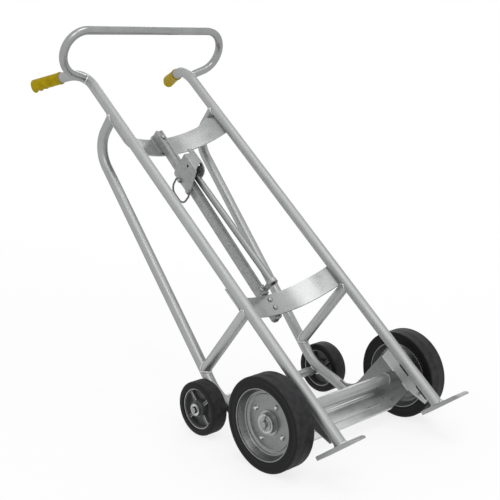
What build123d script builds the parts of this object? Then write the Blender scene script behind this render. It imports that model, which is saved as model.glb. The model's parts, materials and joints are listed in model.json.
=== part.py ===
"""A hand truck for steel drums: a leaning frame of bent tubes on four wheels, with a sliding chime hook.

The frame is laid out in the rails' own directions: x across the truck, s up along the rails from
the point beside the main axle, and d straight back from the rails' centre lines. Millimetres and
degrees, +Z up, with the origin on the ground under the middle of the truck's outer box.
"""

import os
from math import asin, cos, degrees, radians, sin, sqrt, tan

from build123d import *

os.makedirs("parts", exist_ok=True)

# Frame tubes
wheel_spacing = 547.4
rail_inset = 73.7
rail_lean = 50.42
tube_od = 31.75
tube_wall = 3.0
weld_gap = 0.2
edge_round = 0.8

# Handles at the rail tops
handle_vertex = 1234.6
handle_radius = 120.0
handle_bend = 57.3
handle_flare = 25.6
bare_tube = 21.0
grip_length = 108.0
grip_od = 37.0
grip_cap = 5.0
grip_round = 6.0
grip_collar_od = 39.0
grip_collar = 6.0
grip_collar_round = 0.8
sleeve_gap = 0.1

# Loop handle between the rail tops
loop_od = 25.4
loop_wall = 2.5
loop_height = 158.0
loop_radius = 71.0
loop_leg_angle = 20.0
loop_tilt = 17.7
loop_foot = 33.0

# Main wheels and axle
wheel_radius = 127.0
wheel_width = 62.0
axle_setback = 91.2
axle_od = 19.05
axle_chamfer = 1.6
spacer_wall = 6.0
tyre_shoulder = 5.0
rim_radius = 96.4
rim_well = 88.8
rim_depth = 30.5
rim_edge_round = 1.0
disc_gauge = 2.5
disc_step = 4.0
disc_land = 6.8
hub_radius = 27.0
hub_length = 36.0
hub_flange_radius = 33.0
hub_flange = 3.0
bearing_radius = 23.5
bearing_width = 12.0
bearing_ring_share = 0.25
shield_sunk = 1.1
rivet_count = 4
rivet_circle = 55.0
rivet_start = 29.0
rivet_shank = 8.0
rivet_head = 14.0
rivet_height = 5.0
rivet_taper_angle = 30.0
washer_od = 40.0
washer_gauge = 2.0
axle_stub = 7.5
cotter_od = 4.0
cotter_eye = 6.4
cotter_length = 34.0

# Rear wheels and axle
rear_radius = 77.0
rear_width = 48.0
rear_inset = 25.4
wheelbase = 292.4
rear_axle_od = 15.88
rear_axle_chamfer = 1.3
rear_shoulder = 8.0
rear_rim_radius = 58.0
rear_rim_wall = 6.0
rear_rim_width = 40.0
rear_hub_radius = 24.0
rear_hub_width = 44.0
rear_sleeve_radius = 19.5
rear_hub_length = 60.0
rear_hub_bore = 15.9
rear_bearing_radius = 16.7
rear_bearing_width = 12.0
spoke_count = 4
spoke_start = 49.0
spoke_width = 11.0
spoke_depth = 28.0
web_gauge = 6.0
rear_tube_od = 25.4
clip_od = 20.0
clip_gauge = 1.6
rear_stub = 5.0

# Running fits and fastener holes
running_fit = 0.05
seat_gap = 0.1
end_play = 0.3
bolt_hole_gap = 0.25

# Bowed tubes from the rail tops to the rear axle
bow_top = 1042.0
bow_top_radius = 85.0
bow_slope = 10.6
bow_foot_slope = 18.7
bow_foot_radius = 150.0
bow_tail = 160.0
bow_contact_angle = 8.2

# Curved cross bands, as wide as a drum
drum_radius = 292.0
band_gauge = 4.8
band_height = 71.0
upper_band_foot = 950.0
lower_band_foot = 299.6
band_short = 0.5
ear_run = 36.0
ear_inset = 14.0
ear_drop = 2.0
ear_round = 40.0
brace_clearance = 0.6

# Side plates, strips and cross panel round the main axle
plate_inset = 3.0
plate_gauge = 6.0
plate_top = 57.0
plate_bottom = 72.0
plate_front = 48.0
plate_back = 150.0
plate_neck_round = 60.0
neck_reach = 42.0
neck_lip = 3.0
plate_corner = 8.0
strip_gauge = 12.0
strip_top = 52.0
strip_foot = 132.0
strip_foot_width = 13.0
slit_depth = 2.0
rail_slits = ((-3.0, -43.0), (-79.0, -125.0))
plate_slit = (-2.0, -45.0)
strip_bolt_height = -100.0
strip_bolt_inset = 7.8
strip_bolt_od = 9.0
strip_bolt_head = 4.0
axle_tube_od = 32.0
axle_tube_wall = 3.0
panel_gauge = 3.0
panel_top = 22.0
panel_lip = 13.0
rib_heights = (-11.0, -46.0)
rib_width = 10.0
rib_proud = 5.0
rib_round = 4.7
rib_margin = 22.0

# Toe prongs
toe_angle = 14.2
toe_depth = 137.4
prong_offset = 17.0
prong_width = 50.0
prong_gauge = 11.0
prong_shoulder = 10.4
prong_tip_gauge = 2.5
prong_heel = 63.0
prong_land = 150.0
prong_taper = 196.0
prong_reach = 221.0
prong_corner = 6.0
prong_tip_round = 24.8

# Hook track, tilted between the two bands
track_width = 27.0
track_depth = 23.0
track_wall = 2.5
track_slot = 11.0
track_groove = 2.0
track_tilt = 3.04
track_foot = 292.0
track_head = 1030.0
track_corner = 9.0
bracket_width = 58.0
bracket_foot = 960.0
bracket_head = 1033.0
bracket_corner = 20.0
bolt_od = 8.0
bolt_head_od = 15.0
bolt_head = 5.5
bolt_crown = 4.4
bolt_tail = 2.6
nut_across = 13.0
nut_height = 6.5
lower_bolts = (353.0, 324.0)
upper_bolt = 1003.0

# Hook, rod and guide
rod_x = 17.0
rod_lead = 31.9
rod_od = 20.5
rod_wall = 2.5
rod_foot = 384.0
rod_head = 845.0
slide_gap = 0.4
eye_wall = 5.0
eye_height = 12.0
guide_plate = 4.0
guide_plate_foot = 376.0
guide_plate_head = 408.0
guide_arm = 13.0
guide_bolt_x = -5.0
hook_gauge = 4.0
hook_span = 40.0
hook_reach = 50.0
hook_tail = 35.0
hook_top = 875.0
hook_throat = 804.0
hook_heel = 779.0
hook_toe = 806.0
hook_toe_round = 26.0
hook_notch = 832.0
hook_notch_x = 8.0
hook_notch_rise = 2.0
hook_horn = 893.0
hook_horn_width = 22.0
hook_bend = 5.0
hook_corner = 10.0
hook_hole = 9.0
hook_hole_height = 840.0
hook_hole_lead = 32.0
shoe_foot = 815.0
shoe_head = 862.0
shoe_lead = 38.0

# Wire pull on the hook's back edge
wire_od = 6.0
pull_lag = 28.0
pull_depth = 47.0
pull_head = 851.0
pull_foot = 774.0
pull_taper = 3.0
pull_bend = 8.0
pull_corner = 25.0
lug_od = 10.0
lug_length = 9.0
lug_stub = 9.0
wire_overhang = 3.0

SIDES = (("left", -1), ("right", 1))

# The rails' directions, and places given in them
wheel_x = wheel_spacing / 2
rail_x = wheel_x - rail_inset
plate_x = rail_x - plate_inset
tube_r = tube_od / 2
across = Vector(1, 0, 0)
up = Vector(0, sin(radians(rail_lean)), cos(radians(rail_lean)))
back = Vector(0, cos(radians(rail_lean)), -sin(radians(rail_lean)))

toe_sin = sin(radians(toe_angle))
toe_cos = cos(radians(toe_angle))


def toe(forward, height):
    """(s, d) of a point over the plane of the prongs' undersides, and in front of the main axle."""
    s = -toe_depth * toe_cos - forward * toe_sin + height * toe_cos
    d = axle_setback + toe_depth * toe_sin - forward * toe_cos - height * toe_sin
    return s, d


# Handle directions, and the truck's reach fore and aft of the main axle
handle_tangent = handle_radius * tan(radians(handle_bend / 2))
grip_start = handle_tangent + bare_tube
grip_end = grip_start + grip_length


def flare_direction(side):
    """The way a handle leans out of the rails' plane."""
    return across * (side * sin(radians(handle_flare))) + back * cos(radians(handle_flare))


def grip_direction(side):
    """The way a grip points."""
    bend = radians(handle_bend)
    return up * cos(bend) + flare_direction(side) * sin(bend)


grip_y = grip_direction(1).Y
tip_s, tip_d = toe(prong_reach, 0)
front_reach = tip_s * up.Y + (tip_d - axle_setback) * back.Y
grip_end_y = handle_vertex * up.Y - axle_setback * back.Y + grip_end * grip_y
grip_ring = grip_od / 2 - grip_round
back_reach = grip_end_y - grip_round * grip_y + grip_ring * sqrt(1 - grip_y**2) + grip_round
axle_y = -(front_reach + back_reach) / 2


def spot(x, s, d):
    """A point of the truck from its place across, along and behind the rails."""
    main_axle_centre = Vector(x, axle_y, wheel_radius)
    return main_axle_centre + up * s + back * (d - axle_setback)


def side_plane(x):
    """The plane at x across, with s to its right and d up; it faces -X."""
    return Plane(origin=spot(x, 0, 0), x_dir=up, z_dir=across * -1)


def level_plane(s):
    """The plane square to the rails at s, with x to its right and d up; it faces up the rails."""
    return Plane(origin=spot(0, s, 0), x_dir=across, z_dir=up)


def face_plane(d):
    """The plane parallel to the rails at d, with x to its right and s up; it faces forward."""
    return Plane(origin=spot(0, 0, d), x_dir=across, z_dir=back * -1)


def save(part, name):
    """Label a finished piece and write it."""
    part.label = name
    export_step(part, f"parts/{name}.step")


def bent_tube(plane, points, radii, outer, inner=0.0):
    """A tube, or a rod if inner is 0, along straight runs and bends on a plane."""
    with BuildPart() as tube:
        with BuildLine(plane) as route:
            FilletPolyline(*points, radius=radii)
        with BuildSketch(Plane(origin=route.line @ 0, z_dir=route.line % 0)):
            Circle(outer)
            if inner:
                Circle(inner, mode=Mode.SUBTRACT)
        sweep(path=route.line)
    return tube.part


def rod_along(start, direction, length, outer, inner=0.0):
    """A straight tube, or a rod if inner is 0."""
    with BuildPart() as rod:
        with BuildSketch(Plane(origin=start, z_dir=direction)):
            Circle(outer)
            if inner:
                Circle(inner, mode=Mode.SUBTRACT)
        extrude(amount=length)
    return rod.part


def side_plate(x, gauge, points, radii):
    """A flat plate standing fore and aft, centred on x, with its corners rounded by radii."""
    with BuildPart() as plate:
        with BuildSketch(side_plane(x)):
            with BuildLine():
                FilletPolyline(*points, radius=radii, close=True)
            make_face()
        extrude(amount=gauge / 2, both=True)
        fillet(plate.edges().filter_by(Axis.X, reverse=True), edge_round)
    return plate.part


# Rails, bent back and outward into the handles, and cut to stand on the prongs
rail_start = -(wheel_radius + 2 * tube_od)
rail_end = grip_end - grip_cap - sleeve_gap


def rail_tube(side, outer, inner=0.0):
    """One rail's tube at a given radius."""
    plane = Plane(
        origin=spot(side * rail_x, 0, 0), x_dir=up, z_dir=up.cross(flare_direction(side))
    )
    bend = radians(handle_bend)
    end = (handle_vertex + rail_end * cos(bend), rail_end * sin(bend))
    points = ((rail_start, 0), (handle_vertex, 0), end)
    return bent_tube(plane, points, handle_radius, outer, inner)


for name, side in SIDES:
    with BuildPart() as rail:
        add(rail_tube(side, tube_r, tube_r - tube_wall))
        with BuildSketch(side_plane(side * rail_x)):
            seat = prong_gauge + weld_gap
            Polygon(
                toe(0, seat),
                toe(prong_reach, seat),
                toe(prong_reach, -prong_reach),
                toe(0, -prong_reach),
                align=None,
            )
        extrude(amount=tube_od, both=True, mode=Mode.SUBTRACT)
    save(rail.part, f"{name}_rail")

# Moulded grips, closed at the end, with a collar at the open end
for name, side in SIDES:
    direction = grip_direction(side)
    start = spot(side * rail_x, handle_vertex, 0) + direction * grip_start
    with BuildPart() as grip:
        with BuildSketch(Plane(origin=start, z_dir=direction)):
            Circle(grip_od / 2)
        extrude(amount=grip_length)
        fillet(grip.edges().sort_by(Axis(start, direction))[-1], grip_round)
        with BuildSketch(Plane(origin=start, z_dir=direction)):
            Circle(grip_collar_od / 2)
        extrude(amount=grip_collar)
        with BuildSketch(Plane(origin=start, z_dir=direction)):
            Circle(tube_r + sleeve_gap)
        extrude(amount=grip_length - grip_cap, mode=Mode.SUBTRACT)
        fillet(grip.edges().filter_by(GeomType.CIRCLE).group_by(SortBy.RADIUS)[-1], grip_collar_round)
    save(grip.part, f"{name}_grip")

# Loop handle, coped where its legs meet the rails' bends
foot_angle = asin(loop_foot / handle_radius)
foot_flare = handle_radius * (1 - cos(foot_angle))
loop_foot_x = rail_x + foot_flare * sin(radians(handle_flare))
loop_foot_s = handle_vertex - handle_tangent + loop_foot
loop_foot_d = foot_flare * cos(radians(handle_flare))
loop_corner_x = loop_foot_x + loop_height / tan(radians(loop_leg_angle))
loop_up = up * sin(radians(loop_tilt)) - back * cos(radians(loop_tilt))
loop_plane = Plane(
    origin=spot(0, loop_foot_s, loop_foot_d), x_dir=across, z_dir=across.cross(loop_up)
)
loop_points = (
    (-loop_foot_x, 0),
    (-loop_corner_x, loop_height),
    (loop_corner_x, loop_height),
    (loop_foot_x, 0),
)
with BuildPart() as loop_handle:
    add(bent_tube(loop_plane, loop_points, loop_radius, loop_od / 2, loop_od / 2 - loop_wall))
    for name, side in SIDES:
        add(rail_tube(side, tube_r + weld_gap), mode=Mode.SUBTRACT)
save(loop_handle.part, "loop_handle")

# Bowed tubes: back from the rail, down in a long lean, and forward again round the rear axle
rear_drop = rear_radius - wheel_radius
rear_s = wheelbase * up.Y + rear_drop * up.Z
rear_d = axle_setback + wheelbase * back.Y + rear_drop * back.Z
contact = radians(bow_contact_angle)
bow_reach = bow_foot_radius + tube_r + rear_tube_od / 2 + weld_gap
bow_centre_s = rear_s + bow_reach * sin(contact)
bow_centre_d = rear_d - bow_reach * cos(contact)
bow_half_turn = radians((bow_slope + bow_foot_slope) / 2)
bow_bisector = radians((bow_slope - bow_foot_slope) / 2)
bow_vertex_s = bow_centre_s + bow_foot_radius / cos(bow_half_turn) * sin(bow_bisector)
bow_vertex_d = bow_centre_d + bow_foot_radius / cos(bow_half_turn) * cos(bow_bisector)
bow_fall = tan(radians(bow_slope))
bow_tail_s = cos(radians(bow_foot_slope))
bow_tail_d = sin(radians(bow_foot_slope))
bow_end_s = bow_vertex_s - bow_tail * bow_tail_s
bow_end_d = bow_vertex_d - bow_tail * bow_tail_d


def bow_set(s):
    """How far behind the rails a bowed tube's long straight run lies at s."""
    return bow_vertex_d - (s - bow_vertex_s) * bow_fall


def bow_tube(side, outer, inner=0.0):
    """One bowed tube at a given radius, starting on the rail's centre line."""
    points = (
        (bow_top, 0),
        (bow_top, bow_set(bow_top)),
        (bow_vertex_s, bow_vertex_d),
        (bow_end_s, bow_end_d),
    )
    return bent_tube(side_plane(side * rail_x), points, (bow_top_radius, bow_foot_radius), outer, inner)


for name, side in SIDES:
    with BuildPart() as rear_tube:
        add(bow_tube(side, tube_r, tube_r - tube_wall))
        add(rail_tube(side, tube_r + weld_gap), mode=Mode.SUBTRACT)
    save(rear_tube.part, f"{name}_rear_tube")

# Braces from rail to bowed tube, close under the lower band
brace_height = lower_band_foot - tube_r - brace_clearance
for name, side in SIDES:
    with BuildPart() as brace:
        start = spot(side * rail_x, brace_height, 0)
        add(rod_along(start, back, bow_set(brace_height), tube_r, tube_r - tube_wall))
        add(rail_tube(side, tube_r + weld_gap), mode=Mode.SUBTRACT)
        add(bow_tube(side, tube_r + weld_gap), mode=Mode.SUBTRACT)
    save(brace.part, f"{name}_brace")

# Cross bands, rolled to the drum's radius so that each end lies against the back of a rail
band_centre = -sqrt((drum_radius - tube_r - weld_gap) ** 2 - rail_x**2)
band_middle = band_centre + drum_radius
band_half_angle = degrees(asin(rail_x / (drum_radius - tube_r - weld_gap))) - band_short


def band(foot, height):
    """A curved band of the drum's radius from foot, standing height tall."""
    with BuildPart() as strap:
        with BuildSketch(level_plane(foot)):
            with BuildLine():
                first = 90 - band_half_angle
                turn = 2 * band_half_angle
                inner = CenterArc((0, band_centre), drum_radius, first, turn)
                outer = CenterArc((0, band_centre), drum_radius + band_gauge, first, turn)
                Line(inner @ 0, outer @ 0)
                Line(inner @ 1, outer @ 1)
            make_face()
        extrude(amount=height)
        fillet(strap.edges().filter_by(GeomType.CIRCLE), edge_round)
    return strap.part


# The track's own directions: along it, and out of its back
track_along = up * cos(radians(track_tilt)) - back * sin(radians(track_tilt))
track_back = back * cos(radians(track_tilt)) + up * sin(radians(track_tilt))
track_seat_s = lower_band_foot + band_height
track_seat_d = band_middle + band_gauge + weld_gap


def track_plane(along):
    """The plane square to the track, from its front face, with x to its right and its back up."""
    origin = spot(0, track_seat_s, track_seat_d) + track_along * along
    return Plane(origin=origin, x_dir=across, z_dir=track_along)


def track_place(s):
    """How far along the track a height on the rails lies, from where it meets the lower band."""
    return (s - track_seat_s) / cos(radians(track_tilt))


def track_front(s):
    """How far behind the rails the track's front face lies at s."""
    return track_seat_d - (s - track_seat_s) * tan(radians(track_tilt))


def bolt_plane(s, behind):
    """The plane across a track bolt at s, some way behind the track's front, facing backward."""
    origin = spot(0, track_seat_s, track_seat_d) + track_along * track_place(s) + track_back * behind
    return Plane(origin=origin, x_dir=across, z_dir=track_back)


def bolt_hole(s):
    """The rod that a track bolt's hole is cut with."""
    start = bolt_plane(s, -track_width).origin
    return rod_along(start, track_back, 3 * track_width, bolt_od / 2 + bolt_hole_gap)


def domed_bolt(seat_plane, shank):
    """A bolt with a domed head in front of a plane and its shank behind it."""
    with BuildPart() as bolt:
        with BuildSketch(seat_plane):
            Circle(bolt_head_od / 2)
        extrude(amount=-bolt_head)
        through = Axis(seat_plane.origin, seat_plane.z_dir)
        fillet(bolt.edges().filter_by(GeomType.CIRCLE).sort_by(through)[0], bolt_crown)
        with BuildSketch(seat_plane):
            Circle(bolt_od / 2)
        extrude(amount=shank)
    return bolt.part


ear_top = bow_top - ear_drop
ear_end = rail_x - ear_inset
ear_start = ear_end - ear_run
upper_band_top = upper_band_foot + band_height
with BuildPart() as upper_band:
    add(band(upper_band_foot, ear_top - upper_band_foot))
    with BuildSketch(face_plane(band_middle)):
        with BuildLine():
            FilletPolyline(
                (-ear_end, ear_top + band_height),
                (-ear_end, ear_top),
                (-ear_start, upper_band_top),
                (ear_start, upper_band_top),
                (ear_end, ear_top),
                (ear_end, ear_top + band_height),
                radius=(0, 0, ear_round, ear_round, 0, 0),
                close=True,
            )
        make_face()
    extrude(amount=drum_radius, both=True, mode=Mode.SUBTRACT)
    for name, side in SIDES:
        add(bow_tube(side, tube_r + weld_gap), mode=Mode.SUBTRACT)
    add(bolt_hole(upper_bolt), mode=Mode.SUBTRACT)
save(upper_band.part, "upper_band")

with BuildPart() as lower_band:
    add(band(lower_band_foot, band_height))
    for height in lower_bolts:
        add(bolt_hole(height), mode=Mode.SUBTRACT)
save(lower_band.part, "lower_band")

# Hook track: a square tube with a groove down its front
track_from = track_place(track_foot)
track_length = track_place(track_head) - track_from
with BuildPart() as hook_track:
    with BuildSketch(track_plane(track_from)):
        with Locations((0, track_depth / 2)):
            Rectangle(track_width, track_depth)
        with Locations((0, (track_depth + track_groove) / 2)):
            hollow = track_depth - track_groove - 2 * track_wall
            Rectangle(track_width - 2 * track_wall, hollow, mode=Mode.SUBTRACT)
        Rectangle(track_slot, 2 * track_groove, mode=Mode.SUBTRACT)
    extrude(amount=track_length)
    with BuildSketch(Plane(origin=track_plane(track_from).origin, x_dir=across, z_dir=track_back * -1)):
        with BuildLine():
            half = track_width / 2
            FilletPolyline(
                (-half, 0),
                (half, 0),
                (half, track_length),
                (-half, track_length),
                radius=(track_corner, track_corner, track_wall, track_wall),
                close=True,
            )
        make_face()
    extrude(amount=2 * track_depth, both=True, mode=Mode.INTERSECT)
    for height in (*lower_bolts, upper_bolt):
        add(bolt_hole(height), mode=Mode.SUBTRACT)
save(hook_track.part, "hook_track")

# Spacer bracket between the track's back and the upper band's front
with BuildPart() as track_bracket:
    with BuildSketch(face_plane(band_middle)):
        with BuildLine():
            half = bracket_width / 2
            FilletPolyline(
                (-half, bracket_foot),
                (half, bracket_foot),
                (half, bracket_head),
                (-half, bracket_head),
                radius=(plate_corner, plate_corner, bracket_corner, bracket_corner),
                close=True,
            )
        make_face()
    extrude(amount=2 * track_depth)
    with BuildSketch(track_plane(0)):
        with Locations((0, track_depth + weld_gap - track_width)):
            Rectangle(2 * bracket_width, 2 * track_width)
    extrude(amount=track_length, mode=Mode.SUBTRACT)
    with BuildSketch(level_plane(track_foot)):
        with Locations((0, band_centre)):
            Circle(drum_radius - weld_gap)
    extrude(amount=track_length + band_height, mode=Mode.INTERSECT)
    add(bolt_hole(upper_bolt), mode=Mode.SUBTRACT)
save(track_bracket.part, "track_bracket")

# Track bolts, with domed heads in front and hexagon nuts behind
head_tilt_gap = bolt_head_od / 2 * sin(radians(track_tilt)) + weld_gap


def front_of_band(s):
    """Where a bolt's head stops in front of the lower band, as a distance behind the track's front."""
    slip = abs(track_place(s)) * sin(radians(track_tilt))
    return -(band_gauge + weld_gap + slip) / cos(radians(track_tilt)) - head_tilt_gap


def back_of_band(s):
    """Where a nut starts behind the upper band, measured from the track's front."""
    return (band_middle + band_gauge - track_front(s)) / cos(radians(track_tilt)) + head_tilt_gap


bolt_runs = [(s, front_of_band(s), track_depth + weld_gap) for s in lower_bolts]
bolt_runs.append((upper_bolt, -weld_gap, back_of_band(upper_bolt)))
with BuildPart() as track_bolts:
    for s, head_base, nut_base in bolt_runs:
        add(domed_bolt(bolt_plane(s, head_base), nut_base + nut_height + bolt_tail - head_base))
save(track_bolts.part, "track_bolts")

with BuildPart() as track_nuts:
    for s, head_base, nut_base in bolt_runs:
        with BuildSketch(bolt_plane(s, nut_base)):
            RegularPolygon(nut_across / 2, 6, major_radius=False)
            Circle(bolt_od / 2 + seat_gap, mode=Mode.SUBTRACT)
        extrude(amount=nut_height)
save(track_nuts.part, "track_nuts")

# Side plates: from the rail strip back past the axle, with a neck that laps the bowed tube's end
def tail_point(along, front):
    """(s, d) of a point up a bowed tube's tail from its end, and in front of its centre line."""
    s = bow_end_s + bow_tail_s * along + bow_tail_d * front
    d = bow_end_d + bow_tail_d * along - bow_tail_s * front
    return s, d


neck_s, neck_d = tail_point(neck_reach, tube_r + weld_gap + neck_lip)
plate_points = (
    (plate_top, plate_front + weld_gap),
    (plate_top, neck_d - (neck_s - plate_top) * bow_tail_d / bow_tail_s),
    (neck_s, neck_d),
    tail_point(neck_reach, tube_r + weld_gap),
    tail_point(-weld_gap, tube_r + weld_gap),
    tail_point(-weld_gap, -tube_r),
    (-plate_bottom, plate_back),
    (-plate_bottom, plate_front + weld_gap),
)
plate_rounds = (0, plate_neck_round, 0, 0, 0, 0, plate_corner, 0)
for name, side in SIDES:
    with BuildPart() as plate:
        add(side_plate(side * plate_x, plate_gauge, plate_points, plate_rounds))
        with BuildSketch(side_plane(side * plate_x)):
            with Locations((0, axle_setback)):
                Circle(axle_od / 2 + seat_gap)
        extrude(amount=plate_gauge, both=True, mode=Mode.SUBTRACT)
    save(plate.part, f"{name}_side_plate")

# Rail strips, with slits where the stitch welds leave off
strip_front = tube_r + weld_gap
strip_points = (
    (strip_top, strip_front),
    (strip_top, plate_front),
    (-plate_bottom, plate_front),
    (-strip_foot, strip_front + strip_foot_width),
    (-strip_foot, strip_front),
)
strip_bolt_set = strip_front + strip_bolt_inset
for name, side in SIDES:
    with BuildPart() as strip:
        add(side_plate(side * plate_x, strip_gauge, strip_points, (0, 0, plate_corner, 0, 0)))
        with BuildSketch(side_plane(side * plate_x)):
            for top, foot in rail_slits:
                with Locations(((top + foot) / 2, strip_front)):
                    Rectangle(top - foot, 2 * slit_depth)
            with Locations(((plate_slit[0] + plate_slit[1]) / 2, plate_front)):
                Rectangle(plate_slit[0] - plate_slit[1], 2 * slit_depth)
        extrude(amount=strip_gauge, both=True, mode=Mode.SUBTRACT)
    save(strip.part, f"{name}_rail_strip")

with BuildPart() as strip_bolts:
    for name, side in SIDES:
        start = spot(side * (plate_x - strip_gauge / 2 - weld_gap), strip_bolt_height, strip_bolt_set)
        add(rod_along(start, across * -side, strip_bolt_head, strip_bolt_od / 2))
save(strip_bolts.part, "strip_bolts")

# Tube round the main axle, and the ribbed panel behind it
plate_inner = plate_x - plate_gauge / 2 - weld_gap
axle_tube_r = axle_tube_od / 2
start = spot(-plate_inner, 0, axle_setback)
axle_tube = rod_along(start, across, 2 * plate_inner, axle_tube_r, axle_tube_r - axle_tube_wall)
save(axle_tube, "axle_tube")

panel_set = plate_back - plate_corner / 2


def panel_rib(height):
    """A raised rib across the panel, with its crest rounded."""
    with BuildPart() as rib:
        with BuildSketch(face_plane(panel_set)):
            with Locations((0, height)):
                SlotOverall(2 * (plate_inner - rib_margin), rib_width)
        extrude(amount=panel_gauge + rib_proud)
        fillet(rib.edges().group_by(Axis(spot(0, height, panel_set), back))[0], rib_round)
    return rib.part


with BuildPart() as cross_panel:
    with BuildSketch(face_plane(panel_set)):
        with Locations((0, (panel_top - plate_bottom) / 2)):
            Rectangle(2 * plate_inner, panel_top + plate_bottom)
    extrude(amount=panel_gauge)
    with BuildSketch(face_plane(panel_set)):
        with Locations((0, panel_gauge / 2 - plate_bottom)):
            Rectangle(2 * plate_inner, panel_gauge)
    extrude(amount=panel_lip)
    for height in rib_heights:
        add(panel_rib(height))
save(cross_panel.part, "cross_panel")

# Toe prongs, set outward of the rails, thinned a little in front of them and then to a rounded tip
for name, side in SIDES:
    x = side * (rail_x + prong_offset)
    heel_plane = Plane(origin=spot(x, *toe(0, 0)), x_dir=across, z_dir=up * toe_cos - back * toe_sin)
    with BuildPart() as prong:
        with BuildSketch(heel_plane):
            with BuildLine():
                half = prong_width / 2
                FilletPolyline(
                    (-half, -prong_heel),
                    (half, -prong_heel),
                    (half, -prong_reach),
                    (-half, -prong_reach),
                    radius=(prong_corner, prong_corner, prong_tip_round, prong_tip_round),
                    close=True,
                )
            make_face()
        extrude(amount=prong_gauge)
        with BuildSketch(side_plane(x)):
            Polygon(
                toe(prong_land, prong_gauge),
                toe(prong_taper, prong_shoulder),
                toe(prong_reach, prong_tip_gauge),
                toe(prong_reach + prong_gauge, prong_tip_gauge),
                toe(prong_reach + prong_gauge, 2 * prong_gauge),
                toe(prong_land, 2 * prong_gauge),
                align=None,
            )
        extrude(amount=prong_width, both=True, mode=Mode.SUBTRACT)
    save(prong.part, f"{name}_prong")


# Main wheels
def turned(centre, side, points, rounds=None):
    """A ring turned about a wheel's axle from an outline of (outward, radius) points."""
    with BuildPart() as ring:
        with BuildSketch(Plane(origin=centre, x_dir=across, z_dir=(0, -1, 0))):
            with BuildLine():
                outline = [(side * outward, radius) for outward, radius in points]
                FilletPolyline(*outline, radius=rounds or [0] * len(points), close=True)
            make_face()
        revolve(axis=Axis(centre, across))
    return ring.part


def wheel_disc_plane(centre, outward):
    """The plane across a wheel at a distance along its axle from its centre."""
    return Plane(origin=centre + across * outward, x_dir=(0, 1, 0), z_dir=across)


def ball_bearing(centre, side, middle, width, outer, bore):
    """A shielded bearing: two rings with a sunk shield between them on either face."""
    half = width / 2
    ring = (outer - bore) * bearing_ring_share
    sunk = shield_sunk
    points = (
        (middle - half, bore),
        (middle - half, bore + ring),
        (middle - half + sunk, bore + ring),
        (middle - half + sunk, outer - ring),
        (middle - half, outer - ring),
        (middle - half, outer),
        (middle + half, outer),
        (middle + half, outer - ring),
        (middle + half - sunk, outer - ring),
        (middle + half - sunk, bore + ring),
        (middle + half, bore + ring),
        (middle + half, bore),
    )
    return turned(centre, side, points)


half_width = wheel_width / 2
hub_half = hub_length / 2
tyre_seat = rim_radius + weld_gap
tyre_well = rim_well + weld_gap
rim_lip = (rim_radius - rim_well) / 2
disc_step_radius = rim_well - disc_step - disc_land
for name, side in SIDES:
    centre = Vector(side * wheel_x, axle_y, wheel_radius)
    tyre_points = (
        (-half_width, wheel_radius),
        (half_width, wheel_radius),
        (half_width, tyre_seat),
        (rim_depth, tyre_seat),
        (0, tyre_well),
        (-rim_depth, tyre_seat),
        (-half_width, tyre_seat),
    )
    tyre = turned(centre, side, tyre_points, (tyre_shoulder, tyre_shoulder, 0, 0, 0, 0, 0))
    save(tyre, f"{name}_wheel_tyre")

    for which, face in (("outer", 1), ("inner", -1)):
        disc_points = (
            (seat_gap, hub_radius + seat_gap),
            (disc_gauge, hub_radius + seat_gap),
            (disc_gauge, disc_step_radius - disc_step),
            (disc_gauge + disc_step, disc_step_radius),
            (disc_gauge + disc_step, rim_well - disc_step),
            (rim_depth - rim_lip, rim_radius - rim_lip),
            (rim_depth, rim_radius - rim_lip),
            (rim_depth, rim_radius),
            (seat_gap, rim_well),
        )
        disc_rounds = (
            0, 0, disc_step, disc_step, disc_step, disc_gauge, rim_edge_round, rim_edge_round, 0
        )
        with BuildPart() as disc:
            add(turned(centre, side * face, disc_points, disc_rounds))
            with BuildSketch(wheel_disc_plane(centre, 0)):
                with PolarLocations(rivet_circle, rivet_count, rivet_start):
                    Circle(rivet_shank / 2 + seat_gap)
            extrude(amount=rim_depth, both=True, mode=Mode.SUBTRACT)
        save(disc.part, f"{name}_wheel_{which}_disc")

    bearing_depth = hub_half - bearing_width
    hub_points = (
        (-hub_half, bearing_radius + seat_gap),
        (-hub_half, hub_radius),
        (hub_half, hub_radius),
        (hub_half, bearing_radius + seat_gap),
        (bearing_depth - seat_gap, bearing_radius + seat_gap),
        (bearing_depth - seat_gap, bearing_radius - disc_gauge),
        (seat_gap - bearing_depth, bearing_radius - disc_gauge),
        (seat_gap - bearing_depth, bearing_radius + seat_gap),
    )
    with BuildPart() as hub:
        add(turned(centre, side, hub_points))
        flange_base = disc_gauge + seat_gap
        flange_points = (
            (flange_base, hub_radius - seat_gap),
            (flange_base, hub_flange_radius),
            (flange_base + hub_flange, hub_flange_radius),
            (flange_base + hub_flange, hub_radius - seat_gap),
        )
        for face in (1, -1):
            add(turned(centre, face, flange_points))
    save(hub.part, f"{name}_wheel_hub")

    with BuildPart() as bearings:
        for face in (1, -1):
            middle = face * (hub_half - bearing_width / 2)
            add(ball_bearing(centre, 1, middle, bearing_width, bearing_radius, axle_od / 2 + running_fit))
    save(bearings.part, f"{name}_wheel_bearings")

    with BuildPart() as rivets:
        with BuildSketch(wheel_disc_plane(centre, -disc_gauge - seat_gap)):
            with PolarLocations(rivet_circle, rivet_count, rivet_start):
                Circle(rivet_shank / 2)
        extrude(amount=2 * (disc_gauge + seat_gap))
        for face in (1, -1):
            with BuildSketch(wheel_disc_plane(centre, face * (disc_gauge + seat_gap))):
                with PolarLocations(rivet_circle, rivet_count, rivet_start):
                    Circle(rivet_head / 2)
            extrude(amount=face * rivet_height, taper=rivet_taper_angle)
    save(rivets.part, f"{name}_wheel_rivets")

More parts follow.
